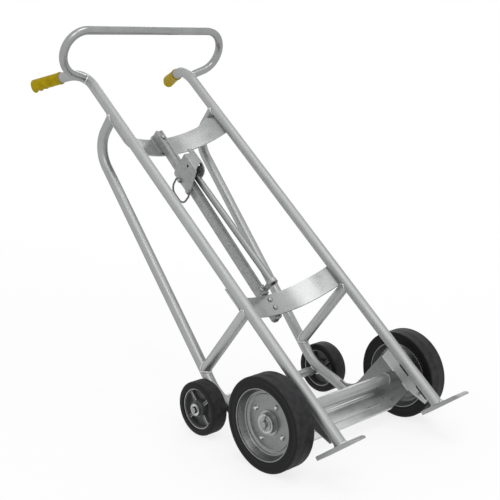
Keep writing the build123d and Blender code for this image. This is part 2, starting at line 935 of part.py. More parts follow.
# Main axle, with what spaces the wheels on it and keeps them there
axle_bore = axle_od / 2 + seat_gap
washer_start = wheel_x + hub_half + end_play
cotter_x = washer_start + washer_gauge + seat_gap + cotter_eye / 2
axle_half = washer_start + washer_gauge + axle_stub
with BuildPart() as main_axle:
    add(rod_along(spot(-axle_half, 0, axle_setback), across, 2 * axle_half, axle_od / 2))
    chamfer(main_axle.edges().filter_by(GeomType.CIRCLE), axle_chamfer)
    for name, side in SIDES:
        with BuildSketch(Plane(origin=Vector(side * cotter_x, axle_y, 0), z_dir=(0, 0, 1))):
            Circle(cotter_od / 2 + seat_gap)
        extrude(amount=2 * wheel_radius, mode=Mode.SUBTRACT)
save(main_axle.part, "main_axle")

with BuildPart() as axle_spacers:
    for name, side in SIDES:
        spacer_start = plate_x + plate_gauge / 2 + weld_gap
        spacer_length = wheel_x - hub_half - end_play - spacer_start
        start = spot(side * spacer_start, 0, axle_setback)
        add(rod_along(start, across * side, spacer_length, axle_od / 2 + spacer_wall, axle_bore))
save(axle_spacers.part, "axle_spacers")

with BuildPart() as axle_washers:
    for name, side in SIDES:
        start = spot(side * washer_start, 0, axle_setback)
        add(rod_along(start, across * side, washer_gauge, washer_od / 2, axle_bore))
save(axle_washers.part, "axle_washers")

with BuildPart() as axle_cotters:
    for name, side in SIDES:
        start = Vector(side * cotter_x, axle_y, wheel_radius - cotter_length / 2)
        add(rod_along(start, Vector(0, 0, 1), cotter_length, cotter_od / 2))
        with Locations(start + Vector(0, 0, cotter_length)):
            Sphere(cotter_eye / 2)
save(axle_cotters.part, "axle_cotters")

# Rear wheels: moulded spoked hubs in rubber tyres
rear_x = wheel_x - rear_inset
rear_y = axle_y + wheelbase
rear_half = rear_width / 2
rear_hub_half = rear_hub_length / 2
for name, side in SIDES:
    centre = Vector(side * rear_x, rear_y, rear_radius)
    rear_tyre_points = (
        (-rear_half, rear_radius),
        (rear_half, rear_radius),
        (rear_half, rear_rim_radius + weld_gap),
        (-rear_half, rear_rim_radius + weld_gap),
    )
    save(turned(centre, side, rear_tyre_points, (rear_shoulder, rear_shoulder, 0, 0)), f"{name}_rear_tyre")

    seat_depth = rear_hub_half - rear_bearing_width
    sleeve_points = (
        (-rear_hub_half, rear_bearing_radius + seat_gap),
        (-rear_hub_half, rear_sleeve_radius),
        (-rear_hub_width / 2, rear_sleeve_radius),
        (-rear_hub_width / 2, rear_hub_radius),
        (rear_hub_width / 2, rear_hub_radius),
        (rear_hub_width / 2, rear_sleeve_radius),
        (rear_hub_half, rear_sleeve_radius),
        (rear_hub_half, rear_bearing_radius + seat_gap),
        (seat_depth - seat_gap, rear_bearing_radius + seat_gap),
        (seat_depth - seat_gap, rear_hub_bore),
        (seat_gap - seat_depth, rear_hub_bore),
        (seat_gap - seat_depth, rear_bearing_radius + seat_gap),
    )
    rim_points = (
        (-rear_rim_width / 2, rear_rim_radius - rear_rim_wall),
        (-rear_rim_width / 2, rear_rim_radius),
        (rear_rim_width / 2, rear_rim_radius),
        (rear_rim_width / 2, rear_rim_radius - rear_rim_wall),
    )
    with BuildPart() as rear_hub:
        add(turned(centre, side, sleeve_points))
        add(turned(centre, side, rim_points))
        spoke_run = rear_rim_radius - rear_hub_radius
        spoke_middle = (rear_rim_radius + rear_hub_radius - rear_rim_wall) / 2
        with BuildSketch(wheel_disc_plane(centre, 0)):
            with PolarLocations(spoke_middle, spoke_count, spoke_start):
                Rectangle(spoke_run, spoke_width)
            Circle(rear_rim_radius - rear_rim_wall / 2, mode=Mode.INTERSECT)
        extrude(amount=spoke_depth / 2, both=True)
        with BuildSketch(wheel_disc_plane(centre, 0)):
            Circle(rear_rim_radius - rear_rim_wall / 2)
            Circle(rear_hub_radius - rear_rim_wall / 2, mode=Mode.SUBTRACT)
        extrude(amount=web_gauge / 2, both=True)
    save(rear_hub.part, f"{name}_rear_hub")

    with BuildPart() as rear_bearings:
        for face in (1, -1):
            middle = face * (rear_hub_half - rear_bearing_width / 2)
            bore = rear_axle_od / 2 + running_fit
            add(ball_bearing(centre, 1, middle, rear_bearing_width, rear_bearing_radius, bore))
    save(rear_bearings.part, f"{name}_rear_bearings")

# Rear axle in its cross tube, with a spring clip outside each wheel
rear_tube_half = rear_x - rear_hub_half - end_play
clip_start = rear_x + rear_hub_half + end_play
rear_axle_half = clip_start + clip_gauge + rear_stub
rear_bore = rear_axle_od / 2 + seat_gap
start = spot(-rear_tube_half, rear_s, rear_d)
save(rod_along(start, across, 2 * rear_tube_half, rear_tube_od / 2, rear_bore), "rear_axle_tube")

with BuildPart() as rear_axle:
    add(rod_along(spot(-rear_axle_half, rear_s, rear_d), across, 2 * rear_axle_half, rear_axle_od / 2))
    chamfer(rear_axle.edges().filter_by(GeomType.CIRCLE), rear_axle_chamfer)
save(rear_axle.part, "rear_axle")

with BuildPart() as rear_clips:
    for name, side in SIDES:
        start = spot(side * clip_start, rear_s, rear_d)
        add(rod_along(start, across * side, clip_gauge, clip_od / 2, rear_bore))
save(rear_clips.part, "rear_clips")

# Hook rod and the guide that it slides through, bolted to the track's front
rod_r = rod_od / 2
rod_set = band_middle - rod_lead
rod_length = rod_head - rod_foot
save(rod_along(spot(rod_x, rod_foot, rod_set), up, rod_length, rod_r, rod_r - rod_wall), "hook_rod")

eye_r = rod_r + slide_gap + eye_wall
guide_seat = track_front(guide_plate_head) - weld_gap - guide_plate
guide_bolt_height = (guide_plate_foot + guide_plate_head) / 2
with BuildPart() as rod_guide:
    with BuildSketch(level_plane(rod_foot)):
        with Locations((rod_x, rod_set)):
            Circle(eye_r)
        with Locations((rod_x - guide_arm / 2, (rod_set + guide_seat + guide_plate) / 2)):
            Rectangle(guide_arm, guide_seat + guide_plate - rod_set)
    extrude(amount=eye_height)
    with BuildSketch(level_plane(guide_plate_foot)):
        with Locations((0, guide_seat + guide_plate / 2)):
            Rectangle(track_width, guide_plate)
    extrude(amount=guide_plate_head - guide_plate_foot)
    with BuildSketch(level_plane(guide_plate_foot)):
        with Locations((rod_x, rod_set)):
            Circle(rod_r + slide_gap)
    extrude(amount=guide_plate_head - guide_plate_foot, mode=Mode.SUBTRACT)
    with BuildSketch(face_plane(guide_seat - guide_plate)):
        with Locations((guide_bolt_x, guide_bolt_height)):
            Circle(bolt_od / 2 + bolt_hole_gap)
    extrude(amount=-3 * guide_plate, mode=Mode.SUBTRACT)
save(rod_guide.part, "rod_guide")

guide_bolt_seat = spot(guide_bolt_x, guide_bolt_height, guide_seat - weld_gap)
guide_bolt_plane = Plane(origin=guide_bolt_seat, x_dir=across, z_dir=back)
save(domed_bolt(guide_bolt_plane, guide_plate + weld_gap), "guide_bolt")

# Chime hook: a plate folded to a channel that straddles the track, with a toothed front
cheek_inner = hook_span / 2
cheek_outer = cheek_inner + hook_gauge
cheek_x = (cheek_inner + cheek_outer) / 2
hook_front = rod_set - hook_reach
hook_back = rod_set + hook_tail
flange_back = rod_set - sqrt(rod_r**2 - (cheek_inner - rod_x) ** 2) - weld_gap
hook_base = hook_heel - hook_gauge
hook_crown = hook_horn + hook_gauge
web_back = hook_front + hook_gauge
horn_x = cheek_outer - hook_horn_width
with BuildPart() as chime_hook:
    with BuildSketch(level_plane(hook_heel)):
        with BuildLine():
            FilletPolyline(
                (-cheek_outer, hook_back),
                (-cheek_outer, hook_front),
                (cheek_outer, hook_front),
                (cheek_outer, flange_back),
                (cheek_inner, flange_back),
                (cheek_inner, web_back),
                (-cheek_inner, web_back),
                (-cheek_inner, hook_back),
                radius=(0, hook_bend, hook_bend, 0, 0, hook_bend - hook_gauge, hook_bend - hook_gauge, 0),
                close=True,
            )
        make_face()
    extrude(amount=hook_horn - hook_heel)
    with BuildSketch(side_plane(-cheek_x)):
        Polygon(
            (hook_throat, hook_front - hook_gauge),
            (hook_throat, hook_front),
            (hook_heel, hook_back),
            (hook_base, hook_back),
            (hook_base, hook_front - hook_gauge),
            align=None,
        )
    extrude(amount=hook_gauge, both=True, mode=Mode.SUBTRACT)
    with BuildSketch(side_plane(cheek_x)):
        Polygon(
            (hook_toe, hook_front - hook_gauge),
            (hook_toe, hook_back),
            (hook_base, hook_back),
            (hook_base, hook_front - hook_gauge),
            align=None,
        )
        with Locations((hook_toe + hook_toe_round / 2, web_back + hook_toe_round / 2)):
            Rectangle(hook_toe_round, hook_toe_round)
        with Locations((hook_toe + hook_toe_round, web_back + hook_toe_round)):
            Circle(hook_toe_round, mode=Mode.SUBTRACT)
    extrude(amount=hook_gauge, both=True, mode=Mode.SUBTRACT)
    with BuildSketch(side_plane(0)):
        Polygon(
            (hook_top, web_back),
            (hook_top, hook_back + hook_gauge),
            (hook_crown, hook_back + hook_gauge),
            (hook_crown, web_back),
            align=None,
        )
    extrude(amount=2 * cheek_outer, both=True, mode=Mode.SUBTRACT)
    with BuildSketch(face_plane(web_back)):
        Polygon(
            (-2 * cheek_outer, hook_top),
            (horn_x, hook_top),
            (horn_x, hook_crown),
            (-2 * cheek_outer, hook_crown),
            align=None,
        )
        Polygon(
            (-cheek_outer, hook_throat),
            (hook_notch_x, hook_notch),
            (cheek_outer, hook_notch + hook_notch_rise),
            (cheek_outer, hook_base),
            (-cheek_outer, hook_base),
            align=None,
        )
    extrude(amount=2 * hook_gauge, mode=Mode.SUBTRACT)
    back_corner = spot(-cheek_x, hook_top, hook_back)
    fillet(chime_hook.edges().filter_by(Axis.X).sort_by_distance(back_corner)[0], hook_corner)
    with BuildSketch(side_plane(0)):
        with Locations((hook_hole_height, rod_set - hook_hole_lead)):
            Circle(hook_hole / 2)
    extrude(amount=2 * cheek_outer, both=True, mode=Mode.SUBTRACT)
save(chime_hook.part, "chime_hook")

# Friction shoe inside the hook, its face along the track's front, with a pin in the left cheek's hole
shoe_left = weld_gap - cheek_inner
shoe_right = rod_x - rod_r - slide_gap
shoe_front = rod_set - shoe_lead
with BuildPart() as lock_shoe:
    with BuildSketch(level_plane(shoe_foot)):
        with Locations(((shoe_left + shoe_right) / 2, shoe_front + hook_span)):
            Rectangle(shoe_right - shoe_left, 2 * hook_span)
    extrude(amount=shoe_head - shoe_foot)
    pin_start = spot(shoe_left + hook_gauge, hook_hole_height, rod_set - hook_hole_lead)
    add(rod_along(pin_start, across * -1, 2 * hook_gauge - edge_round, hook_hole / 2 - slide_gap))
    with BuildSketch(track_plane(0)):
        with Locations((0, track_width - slide_gap)):
            Rectangle(2 * track_width, 2 * track_width)
    extrude(amount=track_length, mode=Mode.SUBTRACT)
save(lock_shoe.part, "lock_shoe")

# Wire pull and the two lugs on the hook's left cheek that it swings in
pull_x = -(cheek_outer + weld_gap + lug_od / 2)
pull_set = rod_set + pull_lag
pull_points = (
    (pull_head - lug_stub - lug_length - wire_overhang, pull_set),
    (pull_head, pull_set),
    (pull_head - pull_taper, pull_set + pull_depth),
    (pull_foot + pull_taper, pull_set + pull_depth),
    (pull_foot, pull_set),
    (pull_foot + lug_stub + lug_length + wire_overhang, pull_set),
)
pull_radii = (pull_bend, pull_corner, pull_corner, pull_bend)
save(bent_tube(side_plane(pull_x), pull_points, pull_radii, wire_od / 2), "pull_ring")

lug_feet = (pull_head - lug_stub - lug_length, pull_foot + lug_stub)
with BuildPart() as pull_lugs:
    for foot in lug_feet:
        with BuildSketch(level_plane(foot)):
            with Locations((pull_x, pull_set)):
                Circle(lug_od / 2)
            with Locations((pull_x + lug_od / 4, pull_set)):
                Rectangle(lug_od / 2, lug_od)
            with Locations((pull_x, pull_set)):
                Circle(wire_od / 2 + slide_gap, mode=Mode.SUBTRACT)
        extrude(amount=lug_length)
save(pull_lugs.part, "pull_lugs")
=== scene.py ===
"""Looks for a hand truck for steel drums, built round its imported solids.

Blender's lengths are metres in the part's own frame, with +Z up and the wheels on the floor. The sizes
listed here are millimetres. Places on the frame follow its leaning rails: x across, s up along the rails
from the point beside the main axle, and d straight back from the rails' centre lines.
"""

import json
from math import asin, cos, pi, radians, sin, sqrt, tan

import bmesh
import bpy
from bpy.props import FloatProperty, FloatVectorProperty, IntProperty, PointerProperty
from bpy.types import Operator, Panel, PropertyGroup
from mathutils import Matrix, Vector


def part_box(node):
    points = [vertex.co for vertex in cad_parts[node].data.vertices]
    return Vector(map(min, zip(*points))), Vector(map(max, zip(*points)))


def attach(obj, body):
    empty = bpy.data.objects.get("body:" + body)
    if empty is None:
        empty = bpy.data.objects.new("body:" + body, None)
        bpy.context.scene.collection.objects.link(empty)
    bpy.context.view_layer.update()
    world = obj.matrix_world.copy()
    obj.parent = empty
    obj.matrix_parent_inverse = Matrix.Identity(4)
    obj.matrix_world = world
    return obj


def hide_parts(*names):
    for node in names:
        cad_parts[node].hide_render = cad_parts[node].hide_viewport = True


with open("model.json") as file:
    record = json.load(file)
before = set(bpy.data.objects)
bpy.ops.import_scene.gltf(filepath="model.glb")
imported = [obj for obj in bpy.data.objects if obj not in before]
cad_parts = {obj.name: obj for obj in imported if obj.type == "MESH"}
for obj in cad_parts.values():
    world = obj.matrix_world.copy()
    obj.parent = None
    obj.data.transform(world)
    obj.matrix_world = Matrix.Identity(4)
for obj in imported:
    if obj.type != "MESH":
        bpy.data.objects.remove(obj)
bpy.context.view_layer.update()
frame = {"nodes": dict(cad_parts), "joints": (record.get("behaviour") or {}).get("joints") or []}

bl_info = {
    "name": "Drum hand truck",
    "version": (1, 0, 0),
    "blender": (4, 5, 0),
    "location": "View3D > Sidebar > Drum truck",
    "description": "Finishes, welds, grips, tyres, hubs and pins for a drum hand truck",
    "category": "Object",
}

MM = 0.001
SIDES = (("left", -1), ("right", 1))
wheel_at = {
    joint["child"]: Vector(joint["pos_m"]) for joint in frame["joints"] if joint.get("continuous")
}
axle = wheel_at["right_main_wheel"]
rear_axle = wheel_at["right_rear_wheel"]


def span_across(node):
    """The middle and the half width of a node across the truck, in millimetres."""
    low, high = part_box(node)
    return (low[0] + high[0]) / 2 / MM, (high[0] - low[0]) / 2 / MM


def radius_about(centre, node):
    """How far the top of a round node stands above its axle, in millimetres."""
    return (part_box(node)[1][2] - centre.z) / MM


# The rails' directions
lean = radians(50.42)
across = Vector((1, 0, 0))
up = Vector((0, sin(lean), cos(lean)))
back = Vector((0, cos(lean), -sin(lean)))

# Rails, with their bends into the handles
rail_x = 200.0
tube_r = 15.875
handle_vertex = 1234.6
handle_radius = 120.0
handle_bend = radians(57.3)
handle_flare = radians(25.6)
handle_tangent = handle_radius * tan(handle_bend / 2)

# Grips
grip_gap = 21.0
grip_start = handle_tangent + grip_gap
grip_length = 108.0
grip_r = 18.4
grip_end_round = 4.0
grip_bore_r = tube_r + 0.1
grip_bore_floor = 5.4
finger = 21.0

# Loop handle
loop_r = 12.7
loop_foot = 33.0
loop_leg_angle = radians(20.0)
loop_tilt = radians(17.7)

# Bowed rear tubes and braces, with (s, d) of the bow's corner and of the rear cross tube's contact
bow_top = 1042.0
bow_slope = radians(10.6)
bow_vertex = (208.05, 293.75)
bow = up * cos(bow_slope) - back * sin(bow_slope)
rear_tube_contact = (195.3, 303.3)
brace_height = 283.1

# Bands
drum_radius = 292.0
band_centre = -190.09
band_feet = (299.6, 950.0)
band_height = 71.0

# Side plates, strips, axle tube and prongs
axle_setback = 91.2
plate_x, plate_half = span_across("right_side_plate")
plate_front = 48.0
strip_half = span_across("right_rail_strip")[1]
axle_tube_half = span_across("axle_tube")[1]
axle_tube_r = radius_about(axle, "axle_tube")
toe_angle = radians(14.2)
toe_depth = 137.4
prong_gauge = 11.0

# Welds: how far a bead's middle stands off what it joins, and (top, bottom) of its runs along the rails
heel_rise = 0.4
heel_degrees = 112
strip_rise = 1.2
strip_runs = ((50.0, -2.0), (-44.0, -78.0), (-126.0, -131.0))
plate_rise = 0.8
plate_side = 1.0
plate_runs = ((51.0, -2.0), (-45.0, -70.0))
contact_weld_r = 8.0
band_weld_inset = 2.0
band_weld_turn = radians(2.5)

# Wheels, which stand on the floor
wheel_radius = axle.z / MM
wheel_half = span_across("right_wheel_tyre")[1]
rim_radius = 96.6
rim_well = 89.0
rear_radius = rear_axle.z / MM
rear_half = span_across("right_rear_tyre")[1]
rear_rim_radius = radius_about(rear_axle, "right_rear_hub")
rear_rim_half = 20.0
spoke_start = radians(49.0)

# Split pins
pin_x = 297.3
pin_half = 17.0
pin_wire_r = 1.0
pin_leg = 1.0
pin_spread = 3.6
pin_bend = 5.0
pin_eye_r = 3.0
pin_eye_rise = 3.4

# The photograph's view, with the camera's place in metres
lens_length = 69.33
sensor_width = 36.0
camera_at = Vector((-1.8971, axle.y - 1.6364, 1.0821))
camera_tilt = radians(12.37)
camera_turn = radians(43.5)


def linear(code):
    """The linear colour of an sRGB hex value."""
    parts = [int(code[i:i + 2], 16) / 255 for i in (1, 3, 5)]
    return [p / 12.92 if p <= 0.04045 else ((p + 0.055) / 1.055) ** 2.4 for p in parts]


def spot(x, s, d):
    """A point of the frame, in metres, from its place across, along and behind the rails."""
    foot = Vector((x * MM, axle.y, axle.z))
    return foot + up * (s * MM) + back * ((d - axle_setback) * MM)


def flare_direction(side):
    """The way a handle leans out of the rails' plane."""
    return across * (side * sin(handle_flare)) + back * cos(handle_flare)


def handle_direction(side, turn):
    """The way a rail points after it has turned that far into its handle."""
    return up * cos(turn) + flare_direction(side) * sin(turn)


def prong_top(d):
    """s of the prongs' top face at a distance behind the rails."""
    rise = prong_gauge - toe_depth - axle_setback * sin(toe_angle) + d * sin(toe_angle)
    return rise / cos(toe_angle)


# Meshes


def new_piece(name, shell, materials, body, replaced=()):
    """An object from points and faces that rides on a body, smooth except at its sharp edges."""
    points, faces = shell[:2]
    mesh = bpy.data.meshes.new(name)
    mesh.from_pydata([tuple(point) for point in points], [], faces)
    for material in materials:
        mesh.materials.append(material)
    if len(shell) > 2:
        mesh.polygons.foreach_set("material_index", shell[2])
    shaped = bmesh.new()
    shaped.from_mesh(mesh)
    bmesh.ops.recalc_face_normals(shaped, faces=shaped.faces)
    shaped.to_mesh(mesh)
    shaped.free()
    mesh.shade_smooth()
    mesh.set_sharp_from_angle(angle=radians(32))
    piece = bpy.data.objects.new(name, mesh)
    bpy.context.scene.collection.objects.link(piece)
    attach(piece, body)
    if replaced:
        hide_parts(*replaced)


def joined(shells):
    """Several shells as one, with each shell's material index where it gives one."""
    points, faces, indexes = [], [], []
    for shell in shells:
        start = len(points)
        points += list(shell[0])
        faces += [[start + corner for corner in face] for face in shell[1]]
        indexes += list(shell[2]) if len(shell) > 2 else [0] * len(shell[1])
    return points, faces, indexes


def bridged(here, there, count, shift=0):
    """Faces between two closed rings of points that start at these numbers."""
    faces = []
    for corner in range(count):
        after = (corner + 1) % count
        faces.append([here + corner, here + after,
                      there + (after + shift) % count, there + (corner + shift) % count])
    return faces


def circle(centre, radius, first, second, corners):
    """Points round a circle of a radius in millimetres, from the first direction toward the second."""
    turns = [2 * pi * corner / corners for corner in range(corners)]
    return [centre + (first * cos(turn) + second * sin(turn)) * (radius * MM) for turn in turns]


def spaced(points, step, closed):
    """Points at even steps along a line of points."""
    line = [Vector(point) for point in points]
    if closed:
        line.append(line[0])
    runs = [(after - before).length for before, after in zip(line, line[1:])]
    count = max(int(round(sum(runs) / step)), 3)
    result = []
    index, passed = 0, 0.0
    for number in range(count if closed else count + 1):
        target = sum(runs) * number / count
        while index < len(runs) - 1 and passed + runs[index] < target:
            passed += runs[index]
            index += 1
        share = (target - passed) / runs[index] if runs[index] else 0.0
        result.append(line[index].lerp(line[index + 1], min(share, 1.0)))
    return result


def string_along(points, radii, closed, sides=8, dome=0.6):
    """A round string along points with its own radius at each, closed on itself or with domed ends."""
    count = len(points)
    ways = []
    for index in range(count):
        before = points[index - 1] if closed or index else points[0]
        after = points[(index + 1) % count] if closed or index < count - 1 else points[-1]
        ways.append((after - before).normalized())
    side = ways[0].orthogonal().normalized()
    shell_points, faces = [], []
    for index in range(count):
        side = (side - ways[index] * side.dot(ways[index])).normalized()
        other = ways[index].cross(side)
        for corner in range(sides):
            angle = 2 * pi * corner / sides
            shell_points.append(points[index] + (side * cos(angle) + other * sin(angle)) * radii[index])
    for index in range(count - 1):
        faces += bridged(index * sides, (index + 1) * sides, sides)
    last = (count - 1) * sides
    if closed:
        # the ring may come back turned, so its last corners join the nearest ones of its first
        gaps = [(shell_points[last] - shell_points[corner]).length for corner in range(sides)]
        faces += bridged(last, 0, sides, gaps.index(min(gaps)))
    else:
        for index, sign in ((0, -1), (count - 1, 1)):
            tip = len(shell_points)
            shell_points.append(points[index] + ways[index] * (sign * radii[index] * dome))
            ring = index * sides
            faces += [[ring + corner, ring + (corner + 1) % sides, tip] for corner in range(sides)]
    return shell_points, faces


def saddle(start, branch, branch_r, main, main_r, corners=72):
    """The line where a branch tube meets a main tube, both through start."""
    first = branch.orthogonal().normalized()
    second = branch.cross(first)
    flat_branch = branch - main * branch.dot(main)
    points = []
    for corner in range(corners):
        angle = 2 * pi * corner / corners
        ring = (first * cos(angle) + second * sin(angle)) * branch_r
        flat_ring = ring - main * ring.dot(main)
        # a line of the branch leaves the main tube where a quadratic in its reach is zero
        a = flat_branch.dot(flat_branch)
        b = 2 * flat_ring.dot(flat_branch)
        c = flat_ring.dot(flat_ring) - main_r**2
        reach = (-b + sqrt(max(b * b - 4 * a * c, 0.0))) / (2 * a)
        points.append(start + ring + branch * reach)
    return points


def mirrored(half, *middle):
    """Corners of a closed outline from those of its outer half and what lies between the halves."""
    return [*half, *middle, *((-outward, *rest) for outward, *rest in reversed(half))]


def rounded(corners, steps=4):
    """A closed outline whose (outward, radius, round) corners are rounded."""
    outline = []
    count = len(corners)
    for index, (x, y, size) in enumerate(corners):
        here = Vector((x, y))
        if not size:
            outline.append(here)
            continue
        one = (Vector(corners[index - 1][:2]) - here).normalized()
        two = (Vector(corners[(index + 1) % count][:2]) - here).normalized()
        half = one.angle(two) / 2
        set_back = size / tan(half)
        middle = here + (one + two).normalized() * (size / sin(half))
        start = here + one * set_back - middle
        sweep = start.angle_signed(here + two * set_back - middle)
        outline += [middle + Matrix.Rotation(-sweep * step / steps, 2) @ start for step in range(steps + 1)]
    return outline


def lathe(outline, centre, side, segments, marks=None):
    """A ring turned about the axle through centre from an outline of (outward, radius) millimetres."""
    count = len(outline)
    points, faces, indexes = [], [], []
    for segment in range(segments):
        angle = 2 * pi * segment / segments
        for outward, radius in outline:
            points.append(centre + Vector((side * outward, radius * cos(angle), radius * sin(angle))) * MM)
        faces += bridged(segment * count, (segment + 1) % segments * count, count)
        indexes += marks or [0] * count
    return points, faces, indexes


# Forms of the pieces


def weld_bead(points, sizes, closed, share=1.0):
    """A weld bead along points, with the overlapping ripples of the pool that laid it."""
    steps = 4
    depth = 0.16
    line = spaced(points, sizes.weld_ripple / steps, closed)
    waves = [abs(cos(pi * index / steps)) for index in range(len(line))]
    radii = [sizes.weld_radius * share * (1 - depth + depth * wave) for wave in waves]
    return string_along(line, radii, closed)


def straight_bead(x, run, d, sizes, share):
    """A weld bead along the rails from the top to the bottom of its run."""
    return weld_bead([spot(x, s, d) for s in run], sizes, False, share)


def tube_beads(side, sizes):
    """The welds of a side's tubes and bands."""
    x = side * rail_x
    tube = tube_r * MM
    turn = asin(loop_foot / handle_radius)
    lift = handle_radius * (1 - cos(turn))
    loop_up = up * sin(loop_tilt) - back * cos(loop_tilt)
    leg = across * (side * cos(loop_leg_angle)) + loop_up * sin(loop_leg_angle)
    loop_end = spot(x, handle_vertex - handle_tangent + loop_foot, 0) + flare_direction(side) * (lift * MM)
    brace_end = bow_vertex[1] - (brace_height - bow_vertex[0]) * tan(bow_slope)
    meetings = (
        (loop_end, leg, loop_r * MM, handle_direction(side, turn)),
        (spot(x, bow_top, 0), back, tube, up),
        (spot(x, brace_height, 0), back, tube, up),
        (spot(x, brace_height, brace_end), back * -1, tube, bow),
    )
    beads = [weld_bead(saddle(*meeting, tube), sizes, True) for meeting in meetings]
    contact = circle(spot(x, *rear_tube_contact), contact_weld_r, across, up, corners=24)
    beads.append(weld_bead(contact, sizes, True))

    # a band's bead lies halfway between the rail's skin and the band's face, just inside the band's end
    angle = asin(rail_x / (drum_radius - tube_r)) - band_weld_turn
    face = Vector((drum_radius * sin(angle) - rail_x, band_centre + drum_radius * cos(angle)))
    seat = face.normalized() * ((tube_r + face.length) / 2)
    for foot in band_feet:
        run = (foot + band_weld_inset, foot + band_height - band_weld_inset)
        beads.append(straight_bead(side * (rail_x + seat.x), run, seat.y, sizes, share=0.8))
    return beads


def plate_beads(side, sizes):
    """The welds of a side's prong, strip, side plate and axle tube."""
    x = side * rail_x
    # the foot's inner side hangs past the prong's edge, so its weld goes round the rest of it
    heel = []
    for bearing in range(-heel_degrees, heel_degrees + 1, 2):
        out = tube_r * cos(radians(bearing))
        d = tube_r * sin(radians(bearing))
        heel.append(spot(x + side * out, prong_top(d) + heel_rise, d))
    beads = [weld_bead(heel, sizes, False, share=1.3)]
    for face in (-1, 1):
        strip = side * plate_x + face * strip_half
        seat = sqrt(tube_r**2 - (strip - x)**2) + strip_rise
        beads += [straight_bead(strip, run, seat, sizes, share=0.8) for run in strip_runs]
        corner = side * plate_x + face * (plate_half + plate_side)
        edge = plate_front + plate_rise
        beads += [straight_bead(corner, run, edge, sizes, share=1.1) for run in plate_runs]
    axle_end = circle(spot(side * axle_tube_half, 0, axle_setback), axle_tube_r, back, up, corners=48)
    beads.append(weld_bead(axle_end, sizes, True, share=0.4))
    return beads


def grip_outline():
    """(along, radius) down the outside of a grip, from its collar to the dimple in its closed end."""
    collar_end = 7.2
    sleeve_rings = 78
    ring_step = 1.2
    collar = [(0.0, 18.8), (0.3, 19.3), (0.9, 19.5), (4.8, 19.5), (5.6, 19.3), (6.2, 18.8),
              (collar_end, 18.5)]
    sleeve = [(collar_end + ring_step * step, grip_r) for step in range(1, sleeve_rings + 1)]
    shoulder = []
    for step in range(1, 9):
        turn = pi / 16 * step
        shoulder.append((grip_length + grip_end_round * (sin(turn) - 1),
                         grip_r + grip_end_round * (cos(turn) - 1)))
    dimple = [(grip_length + 0.3, 9.0), (grip_length + 0.5, 4.0), (grip_length - 0.4, 2.2),
              (grip_length - 1.6, 1.4)]
    return collar + sleeve + shoulder + dimple


def ridge_share(along, ridges):
    """How much of a finger ridge stands at a place along a grip, from 0 to 1."""
    # pointed ridges a finger apart, highest near the closed end and dying away toward the collar
    first_crest = grip_length - 3.0
    sharpness = 1.6
    place = max(first_crest - along, 0.0) / finger
    crest = abs(2 * (place % 1.0) - 1) ** sharpness
    fading = max(1 - place / (ridges - 0.5), 0.0)
    # the first ridge runs out in the last millimetres before the closed end
    run_out = min(1.0, (grip_length - along + 0.5) / 2.0) if along < grip_length else 0.2
    return crest * fading * run_out


def ridged_grip(side, sizes, corners=56):
    """A side's grip: a sleeve with a collar, a closed end and finger ridges underneath."""
    way = handle_direction(side, handle_bend)
    start = spot(side * rail_x, handle_vertex, 0) + way * (grip_start * MM)
    under = (Vector((0, 0, -1)) + way * way.z).normalized()
    beside = way.cross(under)
    outline = grip_outline()
    points = []
    for along, radius in outline:
        height = sizes.ridge_height * ridge_share(along, sizes.ridge_count)
        for corner in range(corners):
            angle = 2 * pi * corner / corners
            underside = max(cos(angle), 0.0) ** 1.3
            reach = radius * MM + height * underside
            points.append(start + way * (along * MM) + (under * cos(angle) + beside * sin(angle)) * reach)
    for along in (grip_length - grip_bore_floor, 0.0):
        points += circle(start + way * (along * MM), grip_bore_r, under, beside, corners)

    # the rings run from the bore's mouth over the outside, and from the bore's floor back to its mouth
    tip = len(outline) - 1
    bore_floor, bore_mouth = tip + 1, tip + 2
    order = [bore_mouth, *range(tip + 1)]
    faces = []
    for here, there in (*zip(order, order[1:]), (bore_floor, bore_mouth)):
        faces += bridged(here * corners, there * corners, corners)
    faces += [[ring * corners + corner for corner in range(corners)] for ring in (tip, bore_floor)]
    return points, faces


def main_tyre_outline():
    """A main tyre's section: a low seam on the crowned tread, and walls sunk between shoulder and bead."""
    sunk = wheel_half - 0.9
    lip = wheel_half - 0.5
    # the mould's seam stands a little proud round the middle of the tread
    tread = [(0.5, wheel_radius, 0), (1.4, wheel_radius - 0.5, 0), (20.0, wheel_radius - 0.25, 0)]
    wall = [
        (wheel_half, wheel_radius, 3.6), (wheel_half, 117.0, 2.0), (sunk, 114.0, 2.0), (sunk, 104.0, 1.0),
        (wheel_half, 102.6, 0.6), (wheel_half, 100.6, 0.6), (lip, 99.0, 0.8), (lip, rim_radius, 0.6),
    ]
    return rounded(mirrored([*tread, *wall], (0.0, rim_well, 0)))


def rear_tyre_outline():
    """A rear tyre's section, with round shoulders and a step down to the rim."""
    step = rear_half - 0.8
    return rounded(mirrored([
        (rear_half, rear_radius, 7.0), (rear_half, 62.0, 1.0), (step, 60.0, 0.6),
        (step, rear_rim_radius + 0.2, 0.4),
    ]))


